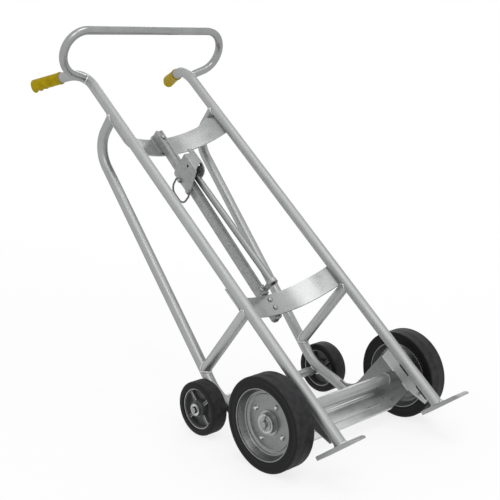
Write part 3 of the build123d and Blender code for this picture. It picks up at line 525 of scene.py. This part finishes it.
def hub_rib(centre, angle):
    """One spoke of a rear hub, with its rounded crests marked for the lighter edge colour, a painted
    highlight with some rubbing.
    """
    # half of a rib's outline, as (beside, outward, painted highlight and rubbing from here to the next
    # corner)
    half = [(5.2, 0.0, 0), (4.4, 12.0, 1), (3.6, 13.6, 1), (2.4, 14.0, 0),
            (-2.4, 14.0, 1), (-3.6, 13.6, 1), (-4.4, 12.0, 0)]
    section = half + [(-beside, -outward, worn) for beside, outward, worn in half]
    stations = ((22.0, 1.15), (30.0, 1.0), (46.0, 0.95), (53.5, 1.1))
    out = Vector((0, cos(angle), sin(angle)))
    wide = Vector((0, -sin(angle), cos(angle)))
    count = len(section)
    points, faces, marks = [], [], []
    for radius, width in stations:
        for beside, outward, worn in section:
            points.append(centre + (out * radius + wide * (beside * width) + across * outward) * MM)
    for station in range(len(stations) - 1):
        faces += bridged(station * count, (station + 1) * count, count)
        marks += [worn for beside, outward, worn in section]
    end = len(points) - count
    faces += [list(range(count)), list(range(end, end + count))]
    return points, faces, marks + [0, 0]


def spoked_hub(centre, side, spokes, segments=96):
    """A rear hub: rim, web and boss turned about the axle, and ribs between them."""
    rim = rounded(mirrored([
        (3.0, 51.0, 1.0), (17.0, 53.0, 1.0), (rear_rim_half, 55.6, 0.8),
        (rear_rim_half, rear_rim_radius, 0.5),
    ]))
    web = rounded(mirrored([(3.0, 23.0, 0), (3.0, 52.5, 0)]))
    boss = rounded(mirrored([
        (18.0, 15.9, 0), (18.0, 16.8, 0), (30.0, 16.8, 0.5), (30.0, 19.5, 0.8), (22.0, 19.8, 0.6),
        (22.0, 24.0, 1.2), (2.0, 25.0, 0),
    ]))
    # the rim's two end faces take the lighter edge colour, a painted highlight with some rubbing
    at_end = [abs(corner.x) > rear_rim_half - 1.0 for corner in rim]
    worn = [int(one and two) for one, two in zip(at_end, at_end[1:] + at_end[:1])]
    shells = [lathe(rim, centre, side, segments, worn)]
    shells += [lathe(outline, centre, side, segments) for outline in (web, boss)]
    shells += [hub_rib(centre, spoke_start + 2 * pi * spoke / spokes) for spoke in range(spokes)]
    return joined(shells)


def split_pin(side):
    """A side's split pin: one wire up a leg, round the eye and down the other leg, with both feet spread."""
    leg = [(pin_spread, -pin_half), (pin_leg, pin_bend - pin_half), (pin_leg, pin_half)]
    # the eye goes round from 40 to 320 degrees, open where the legs leave it
    eye = []
    for step in range(2, 17):
        turn = radians(20 * step)
        eye.append((-pin_eye_r * sin(turn), pin_half + pin_eye_rise - pin_eye_r * cos(turn)))
    line = [*((-y, z) for y, z in leg), *eye, *reversed(leg)]
    centre = Vector((side * pin_x * MM, axle.y, axle.z))
    ring_step = 0.8
    wire = spaced([centre + Vector((0, y, z)) * MM for y, z in line], ring_step * MM, False)
    return string_along(wire, [pin_wire_r * MM] * len(wire), False, sides=10)


# Finishes

# Numbers of a Mix node's colour sockets, whose names it repeats for each type of data
SHARE, COLOUR_A, COLOUR_B, RESULT = 0, 6, 7, 2
# A dull metal's glancing reflection is weaker than a clean mirror's
METAL_EDGE = (0.72, 0.72, 0.72, 1.0)


def add_node(tree, kind, inputs=None, **settings):
    """Add a node to a tree with its settings, and set or link its inputs by name or number."""
    node = tree.nodes.new(kind)
    for name, value in settings.items():
        setattr(node, name, value)
    for name, value in (inputs or {}).items():
        if isinstance(value, bpy.types.NodeSocket):
            tree.links.new(value, node.inputs[name])
        else:
            node.inputs[name].default_value = value
    return node


def new_finish(name):
    """An empty node material, its tree, and the place on the object that its patterns follow."""
    finish = bpy.data.materials.new(name)
    finish.use_nodes = True
    tree = finish.node_tree
    tree.nodes.clear()
    return finish, tree, add_node(tree, "ShaderNodeTexCoord").outputs["Object"]


def shaded(colour, share):
    """A colour made darker or lighter, with no part past white."""
    return [min(part * share, 1.0) for part in colour]


def patterned(tree, pattern, span, colour, dark, light):
    """A pattern's mark from 0 to 1 over its span, and the colour it draws between dark and light ends."""
    mark = add_node(tree, "ShaderNodeMapRange",
                    {"Value": pattern, "From Min": span[0], "From Max": span[1]})
    ends = {COLOUR_A: [*shaded(colour, dark), 1.0], COLOUR_B: [*shaded(colour, light), 1.0]}
    paint = add_node(tree, "ShaderNodeMix", {SHARE: mark.outputs[0], **ends}, data_type="RGBA")
    return mark.outputs[0], paint.outputs[RESULT]


def drawn_metal(name, colour, along, roughness, line_width=1.6, bare=1.0):
    # 6061 aluminium, or the rod's steel, as it leaves the die or the rolls: faint lines run along it, and a
    # thin oxide makes it cloudy over a hand's width and grainy close up. The grain is drawn at 3 mm so that
    # it shows. Where the oxide is thick, less of the metal is bare and it looks flat and grey.
    line_length = 120.0
    grain_width = 3.0
    cloud_width = 55.0
    finish, tree, place = new_finish(name)
    turn = Vector((0, 0, 1)).rotation_difference(along).to_euler()
    size = (line_width * MM, line_width * MM, line_length * MM)
    drawn = add_node(tree, "ShaderNodeMapping", {"Vector": place, "Rotation": turn, "Scale": size},
                     vector_type="TEXTURE")
    lines = add_node(tree, "ShaderNodeTexNoise", {"Vector": drawn.outputs[0], "Scale": 1.0, "Detail": 2.0})
    grain = add_node(tree, "ShaderNodeTexNoise",
                     {"Vector": place, "Scale": 1 / (grain_width * MM), "Detail": 3.0})
    cloud = add_node(tree, "ShaderNodeTexNoise",
                     {"Vector": place, "Scale": 1 / (cloud_width * MM), "Detail": 2.0})
    fine = add_node(tree, "ShaderNodeMath", {0: lines.outputs[0], 1: grain.outputs[0]}, operation="ADD")
    full = add_node(tree, "ShaderNodeMath", {0: fine.outputs[0], 1: cloud.outputs[0]}, operation="ADD")
    _, paint = patterned(tree, full.outputs[0], (1.1, 1.9), colour, dark=0.84, light=1.12)
    haze = add_node(tree, "ShaderNodeMapRange",
                    {"Value": cloud.outputs[0], "From Min": 0.3, "From Max": 0.7,
                     "To Min": roughness - 0.05, "To Max": roughness + 0.08})
    relief = add_node(tree, "ShaderNodeBump",
                      {"Strength": 0.04, "Distance": 0.1 * MM, "Height": fine.outputs[0]})
    metal = add_node(tree, "ShaderNodeBsdfPrincipled",
                     {"Base Color": paint, "Metallic": bare, "Roughness": haze.outputs[0],
                      "Specular Tint": METAL_EDGE, "Normal": relief.outputs[0]})
    add_node(tree, "ShaderNodeOutputMaterial", {"Surface": metal.outputs[0]})
    return finish


def galvanised_sheet(name, colour, roughness):
    # Hot-dip galvanised steel: flat zinc crystals some 8 mm wide that each take the light a little
    # differently, under a dull grey bloom of oxide that scatters part of it.
    crystal_width = 8.0
    bloom_width = 22.0
    finish, tree, place = new_finish(name)
    crystals = add_node(tree, "ShaderNodeTexVoronoi",
                        {"Vector": place, "Scale": 1 / (crystal_width * MM), "Randomness": 1.0})
    value = add_node(tree, "ShaderNodeSeparateColor", {"Color": crystals.outputs["Color"]})
    bloom = add_node(tree, "ShaderNodeTexNoise",
                     {"Vector": place, "Scale": 1 / (bloom_width * MM), "Detail": 4.0})
    both = add_node(tree, "ShaderNodeMath", {0: value.outputs[0], 1: bloom.outputs[0]}, operation="ADD")
    _, paint = patterned(tree, both.outputs[0], (0.3, 1.6), colour, dark=0.88, light=1.12)
    haze = add_node(tree, "ShaderNodeMapRange",
                    {"Value": value.outputs[1], "To Min": roughness - 0.08, "To Max": roughness + 0.1})
    relief = add_node(tree, "ShaderNodeBump",
                      {"Strength": 0.2, "Distance": 0.3 * MM, "Height": bloom.outputs[0]})
    metal = add_node(tree, "ShaderNodeBsdfPrincipled",
                     {"Base Color": paint, "Metallic": 0.55, "Roughness": haze.outputs[0],
                      "Specular Tint": METAL_EDGE, "Normal": relief.outputs[0]})
    add_node(tree, "ShaderNodeOutputMaterial", {"Surface": metal.outputs[0]})
    return finish


def plated_steel(name, colour, roughness, mottle):
    # Plated, blackened or bright steel: an even, slightly hazy metal, softly mottled.
    finish, tree, place = new_finish(name)
    haze = add_node(tree, "ShaderNodeTexNoise", {"Vector": place, "Scale": 1 / (mottle * MM), "Detail": 4.0})
    mark, paint = patterned(tree, haze.outputs[0], (0.3, 0.7), colour, dark=0.86, light=1.1)
    rough = add_node(tree, "ShaderNodeMapRange",
                     {"Value": mark, "To Min": roughness - 0.06, "To Max": roughness + 0.06})
    metal = add_node(tree, "ShaderNodeBsdfPrincipled",
                     {"Base Color": paint, "Metallic": 1.0, "Roughness": rough.outputs[0],
                      "Specular Tint": METAL_EDGE})
    add_node(tree, "ShaderNodeOutputMaterial", {"Surface": metal.outputs[0]})
    return finish


def moulded_rubber(name, colour, scuff, centre, radius):
    # Moulded black rubber: matt and finely grained, greyed by the floor on the tread. The grain is drawn
    # at 1.5 mm so that it shows.
    grain_width = 1.5
    wear_width = 18.0
    tread_start = radius - 3.0
    tread_end = radius - 0.4
    finish, tree, place = new_finish(name)
    arm = add_node(tree, "ShaderNodeVectorMath", {0: place, 1: (0, centre.y, centre.z)}, operation="SUBTRACT")
    flat = add_node(tree, "ShaderNodeVectorMath", {0: arm.outputs[0], 1: (0, 1, 1)}, operation="MULTIPLY")
    reach = add_node(tree, "ShaderNodeVectorMath", {0: flat.outputs[0]}, operation="LENGTH")
    tread = add_node(tree, "ShaderNodeMapRange",
                     {"Value": reach.outputs["Value"],
                      "From Min": tread_start * MM, "From Max": tread_end * MM})
    wear = add_node(tree, "ShaderNodeTexNoise",
                    {"Vector": place, "Scale": 1 / (wear_width * MM), "Detail": 5.0})
    worn = add_node(tree, "ShaderNodeMapRange", {"Value": wear.outputs[0], "From Min": 0.25, "From Max": 0.7})
    both = add_node(tree, "ShaderNodeMath", {0: tread.outputs[0], 1: worn.outputs[0]}, operation="MULTIPLY")
    paint = add_node(tree, "ShaderNodeMix",
                     {SHARE: both.outputs[0], COLOUR_A: [*colour, 1], COLOUR_B: [*scuff, 1]},
                     data_type="RGBA")
    grain = add_node(tree, "ShaderNodeTexNoise",
                     {"Vector": place, "Scale": 1 / (grain_width * MM), "Detail": 2.0})
    relief = add_node(tree, "ShaderNodeBump",
                      {"Strength": 0.3, "Distance": 0.2 * MM, "Height": grain.outputs[0]})
    rough = add_node(tree, "ShaderNodeMapRange", {"Value": both.outputs[0], "To Min": 0.55, "To Max": 0.8})
    rubber = add_node(tree, "ShaderNodeBsdfPrincipled",
                      {"Base Color": paint.outputs[RESULT], "Roughness": rough.outputs[0], "IOR": 1.52,
                       "Specular IOR Level": 0.2, "Normal": relief.outputs[0]})
    add_node(tree, "ShaderNodeOutputMaterial", {"Surface": rubber.outputs[0]})
    return finish


def moulded_plastic(name, colour, roughness, gloss, grain_width, depth):
    # Nylon or vinyl from a mould: one colour with a soft bloom, and the fine texture of the mould's wall,
    # drawn at a millimetre or so to show.
    bloom_width = 16.0
    finish, tree, place = new_finish(name)
    bloom = add_node(tree, "ShaderNodeTexNoise",
                     {"Vector": place, "Scale": 1 / (bloom_width * MM), "Detail": 3.0})
    mark, paint = patterned(tree, bloom.outputs[0], (0.3, 0.7), colour, dark=0.82, light=1.1)
    grain = add_node(tree, "ShaderNodeTexNoise",
                     {"Vector": place, "Scale": 1 / (grain_width * MM), "Detail": 2.0})
    relief = add_node(tree, "ShaderNodeBump",
                      {"Strength": 0.4, "Distance": depth * MM, "Height": grain.outputs[0]})
    rough = add_node(tree, "ShaderNodeMapRange",
                     {"Value": mark, "To Min": roughness - 0.06, "To Max": roughness + 0.06})
    plastic = add_node(tree, "ShaderNodeBsdfPrincipled",
                       {"Base Color": paint, "Roughness": rough.outputs[0], "IOR": 1.53,
                        "Specular IOR Level": gloss, "Normal": relief.outputs[0]})
    add_node(tree, "ShaderNodeOutputMaterial", {"Surface": plastic.outputs[0]})
    return finish


def dress(finish, *names):
    """Give carried-over solids a finish."""
    for name in names:
        frame["nodes"][name].material_slots[0].material = finish


def both_sides(*pieces):
    """The left and right nodes of each piece."""
    return [f"{name}_{piece}" for piece in pieces for name, side in SIDES]


# The stage


def seen_rays(tree):
    """1 for rays from the camera, a mirror-like surface or a clear one, and 0 for the rest."""
    ray = add_node(tree, "ShaderNodeLightPath")
    seen = add_node(tree, "ShaderNodeMath",
                    {0: ray.outputs["Is Camera Ray"], 1: ray.outputs["Is Glossy Ray"]}, operation="MAXIMUM")
    shown = add_node(tree, "ShaderNodeMath",
                     {0: seen.outputs[0], 1: ray.outputs["Is Transmission Ray"]}, operation="MAXIMUM")
    return shown.outputs[0]


def studio_paper(colour):
    # Seamless studio paper: matt and even, and lost in the white behind it a few metres out.
    fade_start = 1.2
    fade_end = 4.0
    paleness = 0.8
    finish, tree, place = new_finish("pale_studio_paper")
    far = add_node(tree, "ShaderNodeVectorMath", {0: place}, operation="LENGTH")
    fade = add_node(tree, "ShaderNodeMapRange",
                    {"Value": far.outputs["Value"], "From Min": fade_start, "From Max": fade_end},
                    interpolation_type="SMOOTHSTEP")
    matt = add_node(tree, "ShaderNodeBsdfDiffuse", {"Color": [*colour, 1]})
    glow = add_node(tree, "ShaderNodeEmission", {"Color": (1, 1, 1, 1), "Strength": 1.0})
    pale = add_node(tree, "ShaderNodeMath", {0: seen_rays(tree), 1: paleness}, operation="MULTIPLY")
    bright = add_node(tree, "ShaderNodeMixShader",
                      {0: pale.outputs[0], 1: matt.outputs[0], 2: glow.outputs[0]})
    clear = add_node(tree, "ShaderNodeBsdfTransparent")
    sheet = add_node(tree, "ShaderNodeMixShader",
                     {0: fade.outputs[0], 1: bright.outputs[0], 2: clear.outputs[0]})
    add_node(tree, "ShaderNodeOutputMaterial", {"Surface": sheet.outputs[0]})
    return finish


def white_world():
    """A world that looks white and lights the truck softly."""
    world = bpy.data.worlds.new("white_studio")
    world.use_nodes = True
    tree = world.node_tree
    tree.nodes.clear()
    soft = add_node(tree, "ShaderNodeBackground", {"Color": (1, 1, 1, 1), "Strength": 0.8})
    white = add_node(tree, "ShaderNodeBackground", {"Color": (1, 1, 1, 1), "Strength": 1.0})
    sky = add_node(tree, "ShaderNodeMixShader", {0: seen_rays(tree), 1: soft.outputs[0], 2: white.outputs[0]})
    add_node(tree, "ShaderNodeOutputWorld", {"Surface": sky.outputs[0]})
    return world


# What a user would change


def colour_of(title, told, code):
    """A colour setting."""
    return FloatVectorProperty(name=title, description=told, default=linear(code), subtype="COLOR",
                               min=0, max=1)


class TruckColours(PropertyGroup):
    """Colours of the truck's finishes."""

    tube: colour_of("Tube", "Mill-finish aluminium tube", "#A4A5A5")
    band: colour_of("Band", "Brushed aluminium bands and prongs", "#A5A6A6")
    # painted shade: the side plates' colour is darkened to stand for the shade that falls on them
    plate: colour_of("Plate", "Dark rolled aluminium side plates", "#808181")
    # painted light: the strips' colour is lightened to stand for the light that they catch
    strip: colour_of("Strip", "Aluminium strips and track bracket", "#C2C3C3")
    # painted light: the panel's colour is lightened to stand for the light that it reflects
    panel: colour_of("Panel", "Ribbed aluminium panel", "#D8D9D9")
    weld: colour_of("Weld", "Aluminium weld beads", "#CACBCB")
    galvanised: colour_of("Galvanised", "Galvanised hook, guide and track", "#9C9D9D")
    rod: colour_of("Rod", "Plated hook rod and ground axles", "#989999")
    wire: colour_of("Pull wire", "Dull plated wire pull", "#6C6D6D")
    # painted shade: the discs' colour is darkened to stand for the shade in their dished walls
    disc: colour_of("Wheel disc", "Zinc-plated pressed wheel discs", "#8A8B8B")
    zinc: colour_of("Zinc", "Zinc-plated hubs and fasteners", "#A2A3A3")
    # partly painted shade: the black of the lock shoe and of the rear clips also stands for the shade in the
    # hook's gap and in the rear hubs' middles
    oxide: colour_of("Black oxide", "Blackened lock shoe and spring clips", "#2E2F31")
    bright: colour_of("Bright steel", "Bearings and rivets", "#C6C7C7")
    rubber: colour_of("Rubber", "Tyre rubber", "#0F0F10")
    scuffed: colour_of("Scuffed rubber", "Rubber greyed by the floor", "#353537")
    nylon: colour_of("Nylon", "Moulded rear hubs", "#484949")
    # painted highlight: the lighter edge colour on the rear hubs' rim ends and spoke crests stands for their
    # highlights as well as their rubbing
    worn: colour_of("Worn edge", "Rubbed edges of the rear hubs", "#AEAFAF")
    vinyl: colour_of("Vinyl", "Moulded grips", "#A38C00")
    paper: colour_of("Floor", "Pale studio floor", "#F4F4F4")


class TruckSizes(PropertyGroup):
    """Sizes of what is added to the truck's solids."""

    weld_radius: FloatProperty(
        name="Weld", description="Radius of a weld bead", default=3.2 * MM, min=1 * MM, max=6 * MM,
        subtype="DISTANCE", unit="LENGTH")
    weld_ripple: FloatProperty(
        name="Ripple", description="Length of a weld bead's ripple", default=4 * MM, min=2 * MM, max=8 * MM,
        subtype="DISTANCE", unit="LENGTH")
    ridge_height: FloatProperty(
        name="Finger ridge", description="Height of the grips' finger ridges", default=5 * MM, min=0,
        max=8 * MM, subtype="DISTANCE", unit="LENGTH")
    ridge_count: IntProperty(
        name="Finger ridges", description="Number of finger ridges under a grip", default=4, min=1, max=8)
    spoke_count: IntProperty(
        name="Spokes", description="Number of spokes in a rear hub", default=4, min=3, max=8)
    floor_reach: FloatProperty(
        name="Floor", description="How far the floor runs from the truck", default=9.0, min=2.0, max=40.0,
        subtype="DISTANCE", unit="LENGTH")


# Operators


class DRUMTRUCK_OT_tubes(Operator):
    """Finish the bent tubes of the frame"""

    bl_idname = "drum_truck.tubes"
    bl_label = "Finish the tubes"

    def execute(self, context):
        # lit and shaded copies of the tube colour: the rails and cross tubes are painted a little lighter and
        # the braces lighter still, as painted light, and the loop is painted darker, as painted shade
        tube = context.scene.truck_colours.tube
        rail = shaded(tube, 1.09)
        brace = shaded(tube, 1.22)
        loop = shaded(tube, 0.86)
        dress(drawn_metal("mill_finish_aluminium_rail", rail, up, roughness=0.54, bare=0.85),
              *both_sides("rail"))
        dress(drawn_metal("mill_finish_aluminium_bow", tube, bow, roughness=0.42), *both_sides("rear_tube"))
        dress(drawn_metal("mill_finish_aluminium_brace", brace, back, roughness=0.42, bare=0.8),
              *both_sides("brace"))
        dress(drawn_metal("mill_finish_aluminium_cross_tube", rail, across, roughness=0.34, bare=0.75),
              "axle_tube", "rear_axle_tube")
        dress(drawn_metal("aluminium_loop_painted_darker", loop, across, roughness=0.26), "loop_handle")
        return {"FINISHED"}


class DRUMTRUCK_OT_plates(Operator):
    """Finish the bands, plates, strips, panel and prongs"""

    bl_idname = "drum_truck.plates"
    bl_label = "Finish the plates"

    def execute(self, context):
        colours = context.scene.truck_colours
        brushed = drawn_metal("brushed_aluminium_band", colours.band, across, roughness=0.25,
                              line_width=0.8, bare=0.65)
        dress(brushed, "upper_band", "lower_band")
        # the strips and the track bracket take the lightened strip colour, a painted light
        dress(drawn_metal("rolled_aluminium_strip", colours.strip, up, roughness=0.36),
              *both_sides("rail_strip"), "track_bracket")
        # the side plates take the darkened plate colour, a painted shade
        dress(drawn_metal("rolled_aluminium_side_plate", colours.plate, up, roughness=0.26),
              *both_sides("side_plate"))
        # the panel takes the lightened panel colour, a painted light
        dress(drawn_metal("rolled_aluminium_panel", colours.panel, across, roughness=0.36), "cross_panel")
        dress(drawn_metal("rolled_aluminium_prong", colours.band, back, roughness=0.36), *both_sides("prong"))
        return {"FINISHED"}


class DRUMTRUCK_OT_welds(Operator):
    """Lay the weld beads that hold the frame together"""

    bl_idname = "drum_truck.welds"
    bl_label = "Lay the welds"

    def execute(self, context):
        sizes = context.scene.truck_sizes
        weld = drawn_metal("aluminium_weld_bead", context.scene.truck_colours.weld, up, roughness=0.34)
        tubes, plates = [], []
        for name, side in SIDES:
            tubes += tube_beads(side, sizes)
            plates += plate_beads(side, sizes)
        new_piece("tube_welds", joined(tubes), [weld], "frame")
        new_piece("plate_welds", joined(plates), [weld], "frame")
        return {"FINISHED"}


class DRUMTRUCK_OT_grips(Operator):
    """Mould the grips, with finger ridges underneath"""

    bl_idname = "drum_truck.grips"
    bl_label = "Mould the grips"

    def execute(self, context):
        vinyl = moulded_plastic("moulded_vinyl_grip", context.scene.truck_colours.vinyl,
                                roughness=0.5, gloss=0.08, grain_width=1.2, depth=0.04)
        for name, side in SIDES:
            new_piece(f"{name}_vinyl_grip", ridged_grip(side, context.scene.truck_sizes), [vinyl], "frame",
                      [f"{name}_grip"])
        return {"FINISHED"}


class DRUMTRUCK_OT_hook(Operator):
    """Finish the chime hook, its track, rod, guide and pull"""

    bl_idname = "drum_truck.hook"
    bl_label = "Finish the hook"

    def execute(self, context):
        colours = context.scene.truck_colours
        dress(galvanised_sheet("galvanised_hook_sheet", colours.galvanised, roughness=0.42),
              "chime_hook", "pull_lugs", "rod_guide")
        dress(plated_steel("dull_zinc_plated_wire", colours.wire, roughness=0.4, mottle=5.0), "pull_ring")
        # the shoe's black is partly a painted shade in the hook's gap
        dress(plated_steel("black_oxide_steel_shoe", colours.oxide, roughness=0.45, mottle=6.0), "lock_shoe")
        dress(galvanised_sheet("weathered_galvanised_track", colours.galvanised, roughness=0.5), "hook_track")
        dress(drawn_metal("drawn_zinc_plated_rod", colours.rod, up, roughness=0.48, line_width=1.0),
              "hook_rod")
        return {"FINISHED"}


class DRUMTRUCK_OT_main_wheels(Operator):
    """Mould the main tyres and finish the pressed discs, hubs, bearings and rivets"""

    bl_idname = "drum_truck.main_wheels"
    bl_label = "Build the main wheels"

    def execute(self, context):
        colours = context.scene.truck_colours
        rubber = moulded_rubber("moulded_main_tyre_rubber", colours.rubber, colours.scuffed, axle,
                                wheel_radius)
        # the pressed discs take the darkened disc colour, a painted shade
        dress(plated_steel("zinc_plated_pressed_disc", colours.disc, roughness=0.36, mottle=9.0),
              *both_sides("wheel_outer_disc", "wheel_inner_disc"))
        dress(plated_steel("zinc_plated_steel_hub", colours.zinc, roughness=0.32, mottle=6.0),
              *both_sides("wheel_hub"))
        dress(plated_steel("bright_rivet_steel", colours.bright, roughness=0.28, mottle=4.0),
              *both_sides("wheel_bearings", "wheel_rivets"))
        outline = main_tyre_outline()
        for name, side in SIDES:
            body = f"{name}_main_wheel"
            new_piece(f"{name}_main_tyre", lathe(outline, wheel_at[body], side, segments=144), [rubber], body,
                      [f"{name}_wheel_tyre"])
        return {"FINISHED"}


class DRUMTRUCK_OT_rear_wheels(Operator):
    """Mould the rear tyres and spoked hubs"""

    bl_idname = "drum_truck.rear_wheels"
    bl_label = "Build the rear wheels"

    def execute(self, context):
        colours = context.scene.truck_colours
        spokes = context.scene.truck_sizes.spoke_count
        rubber = moulded_rubber("moulded_rear_tyre_rubber", colours.rubber, colours.scuffed, rear_axle,
                                rear_radius)
        nylon = moulded_plastic("moulded_nylon_hub", colours.nylon,
                                roughness=0.42, gloss=0.4, grain_width=1.0, depth=0.12)
        # the hubs' edges take the lighter colour, a painted highlight with some rubbing
        worn = moulded_plastic("nylon_edge_painted_highlight", colours.worn,
                               roughness=0.38, gloss=0.4, grain_width=1.0, depth=0.1)
        dress(plated_steel("bright_rear_bearing_steel", colours.bright, roughness=0.26, mottle=4.0),
              *both_sides("rear_bearings"))
        outline = rear_tyre_outline()
        for name, side in SIDES:
            body = f"{name}_rear_wheel"
            centre = wheel_at[body]
            new_piece(f"{name}_rear_rubber", lathe(outline, centre, side, segments=112), [rubber], body,
                      [f"{name}_rear_tyre"])
            new_piece(f"{name}_spoked_hub", spoked_hub(centre, side, spokes), [nylon, worn], body,
                      [f"{name}_rear_hub"])
        return {"FINISHED"}


class DRUMTRUCK_OT_fasteners(Operator):
    """Finish the axles and bolts, and bend the split pins"""

    bl_idname = "drum_truck.fasteners"
    bl_label = "Fit the fasteners"

    def execute(self, context):
        colours = context.scene.truck_colours
        zinc = plated_steel("zinc_plated_steel_fastener", colours.zinc, roughness=0.32, mottle=5.0)
        dress(zinc, "track_bolts", "track_nuts", "guide_bolt", "strip_bolts", "axle_washers", "axle_spacers")
        # the clips' black is partly a painted shade in the middle of the rear hubs
        dress(plated_steel("black_oxide_spring_steel", colours.oxide, roughness=0.4, mottle=5.0),
              "rear_clips")
        dress(plated_steel("ground_axle_steel", colours.rod, roughness=0.34, mottle=6.0),
              "main_axle", "rear_axle")
        pins = joined([split_pin(side) for name, side in SIDES])
        new_piece("split_pins", pins, [zinc], "frame", ["axle_cotters"])
        return {"FINISHED"}


class DRUMTRUCK_OT_stage(Operator):
    """Lay the floor and set the lights and the camera"""

    bl_idname = "drum_truck.stage"
    bl_label = "Set the stage"

    def execute(self, context):
        scene = context.scene
        reach = scene.truck_sizes.floor_reach
        mesh = bpy.data.meshes.new("studio_floor")
        corners = [(-reach, -reach, 0), (reach, -reach, 0), (reach, reach, 0), (-reach, reach, 0)]
        mesh.from_pydata(corners, [], [(0, 1, 2, 3)])
        mesh.materials.append(studio_paper(scene.truck_colours.paper))
        floor = bpy.data.objects.new("studio_floor", mesh)
        scene.collection.objects.link(floor)
        scene.world = white_world()

        # square lamps aimed at the truck's middle: place and width in metres, and power in watts
        middle = Vector((0, 0, 0.5))
        lamps = (
            ("top_lamp", (0.15, -1.2, 4.2), 1.8, 26.0),
            ("front_lamp", (-1.8, -2.2, 3.5), 1.3, 22.0),
            ("rim_lamp", (3.0, 2.6, 2.6), 1.8, 30.0),
        )
        for name, where, width, power in lamps:
            lamp = bpy.data.lights.new(name, "AREA")
            lamp.size = width
            lamp.energy = power
            holder = bpy.data.objects.new(name, lamp)
            holder.location = where
            holder.rotation_euler = (middle - holder.location).to_track_quat("-Z", "Y").to_euler()
            scene.collection.objects.link(holder)

        lens = bpy.data.cameras.new("photo_camera")
        lens.sensor_width = sensor_width
        lens.lens = lens_length
        camera = bpy.data.objects.new("photo_camera", lens)
        camera.location = camera_at
        camera.rotation_euler = (pi / 2 - camera_tilt, 0, -camera_turn)
        scene.collection.objects.link(camera)
        scene.camera = camera
        scene.view_settings.view_transform = "Standard"
        return {"FINISHED"}


OPERATORS = (
    DRUMTRUCK_OT_stage,
    DRUMTRUCK_OT_tubes,
    DRUMTRUCK_OT_plates,
    DRUMTRUCK_OT_welds,
    DRUMTRUCK_OT_grips,
    DRUMTRUCK_OT_hook,
    DRUMTRUCK_OT_main_wheels,
    DRUMTRUCK_OT_rear_wheels,
    DRUMTRUCK_OT_fasteners,
)


class VIEW3D_PT_drum_truck(Panel):
    """The truck's colours, sizes and steps"""

    bl_idname = "VIEW3D_PT_drum_truck"
    bl_label = "Drum truck"
    bl_space_type = "VIEW_3D"
    bl_region_type = "UI"
    bl_category = "Drum truck"

    def draw(self, context):
        for group in (context.scene.truck_colours, context.scene.truck_sizes):
            for name in type(group).__annotations__:
                self.layout.prop(group, name)
        for operator in OPERATORS:
            self.layout.operator(operator.bl_idname)


CLASSES = (TruckColours, TruckSizes, *OPERATORS, VIEW3D_PT_drum_truck)


def register():
    for each in CLASSES:
        bpy.utils.register_class(each)
    bpy.types.Scene.truck_colours = PointerProperty(type=TruckColours)
    bpy.types.Scene.truck_sizes = PointerProperty(type=TruckSizes)


def unregister():
    del bpy.types.Scene.truck_sizes
    del bpy.types.Scene.truck_colours
    for each in reversed(CLASSES):
        bpy.utils.unregister_class(each)


def main():
    register()
    bpy.ops.drum_truck.stage()
    bpy.ops.drum_truck.tubes()
    bpy.ops.drum_truck.plates()
    bpy.ops.drum_truck.welds()
    bpy.ops.drum_truck.grips()
    bpy.ops.drum_truck.hook()
    bpy.ops.drum_truck.main_wheels()
    bpy.ops.drum_truck.rear_wheels()
    bpy.ops.drum_truck.fasteners()
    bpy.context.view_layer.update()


if __name__ == "__main__":
    main()
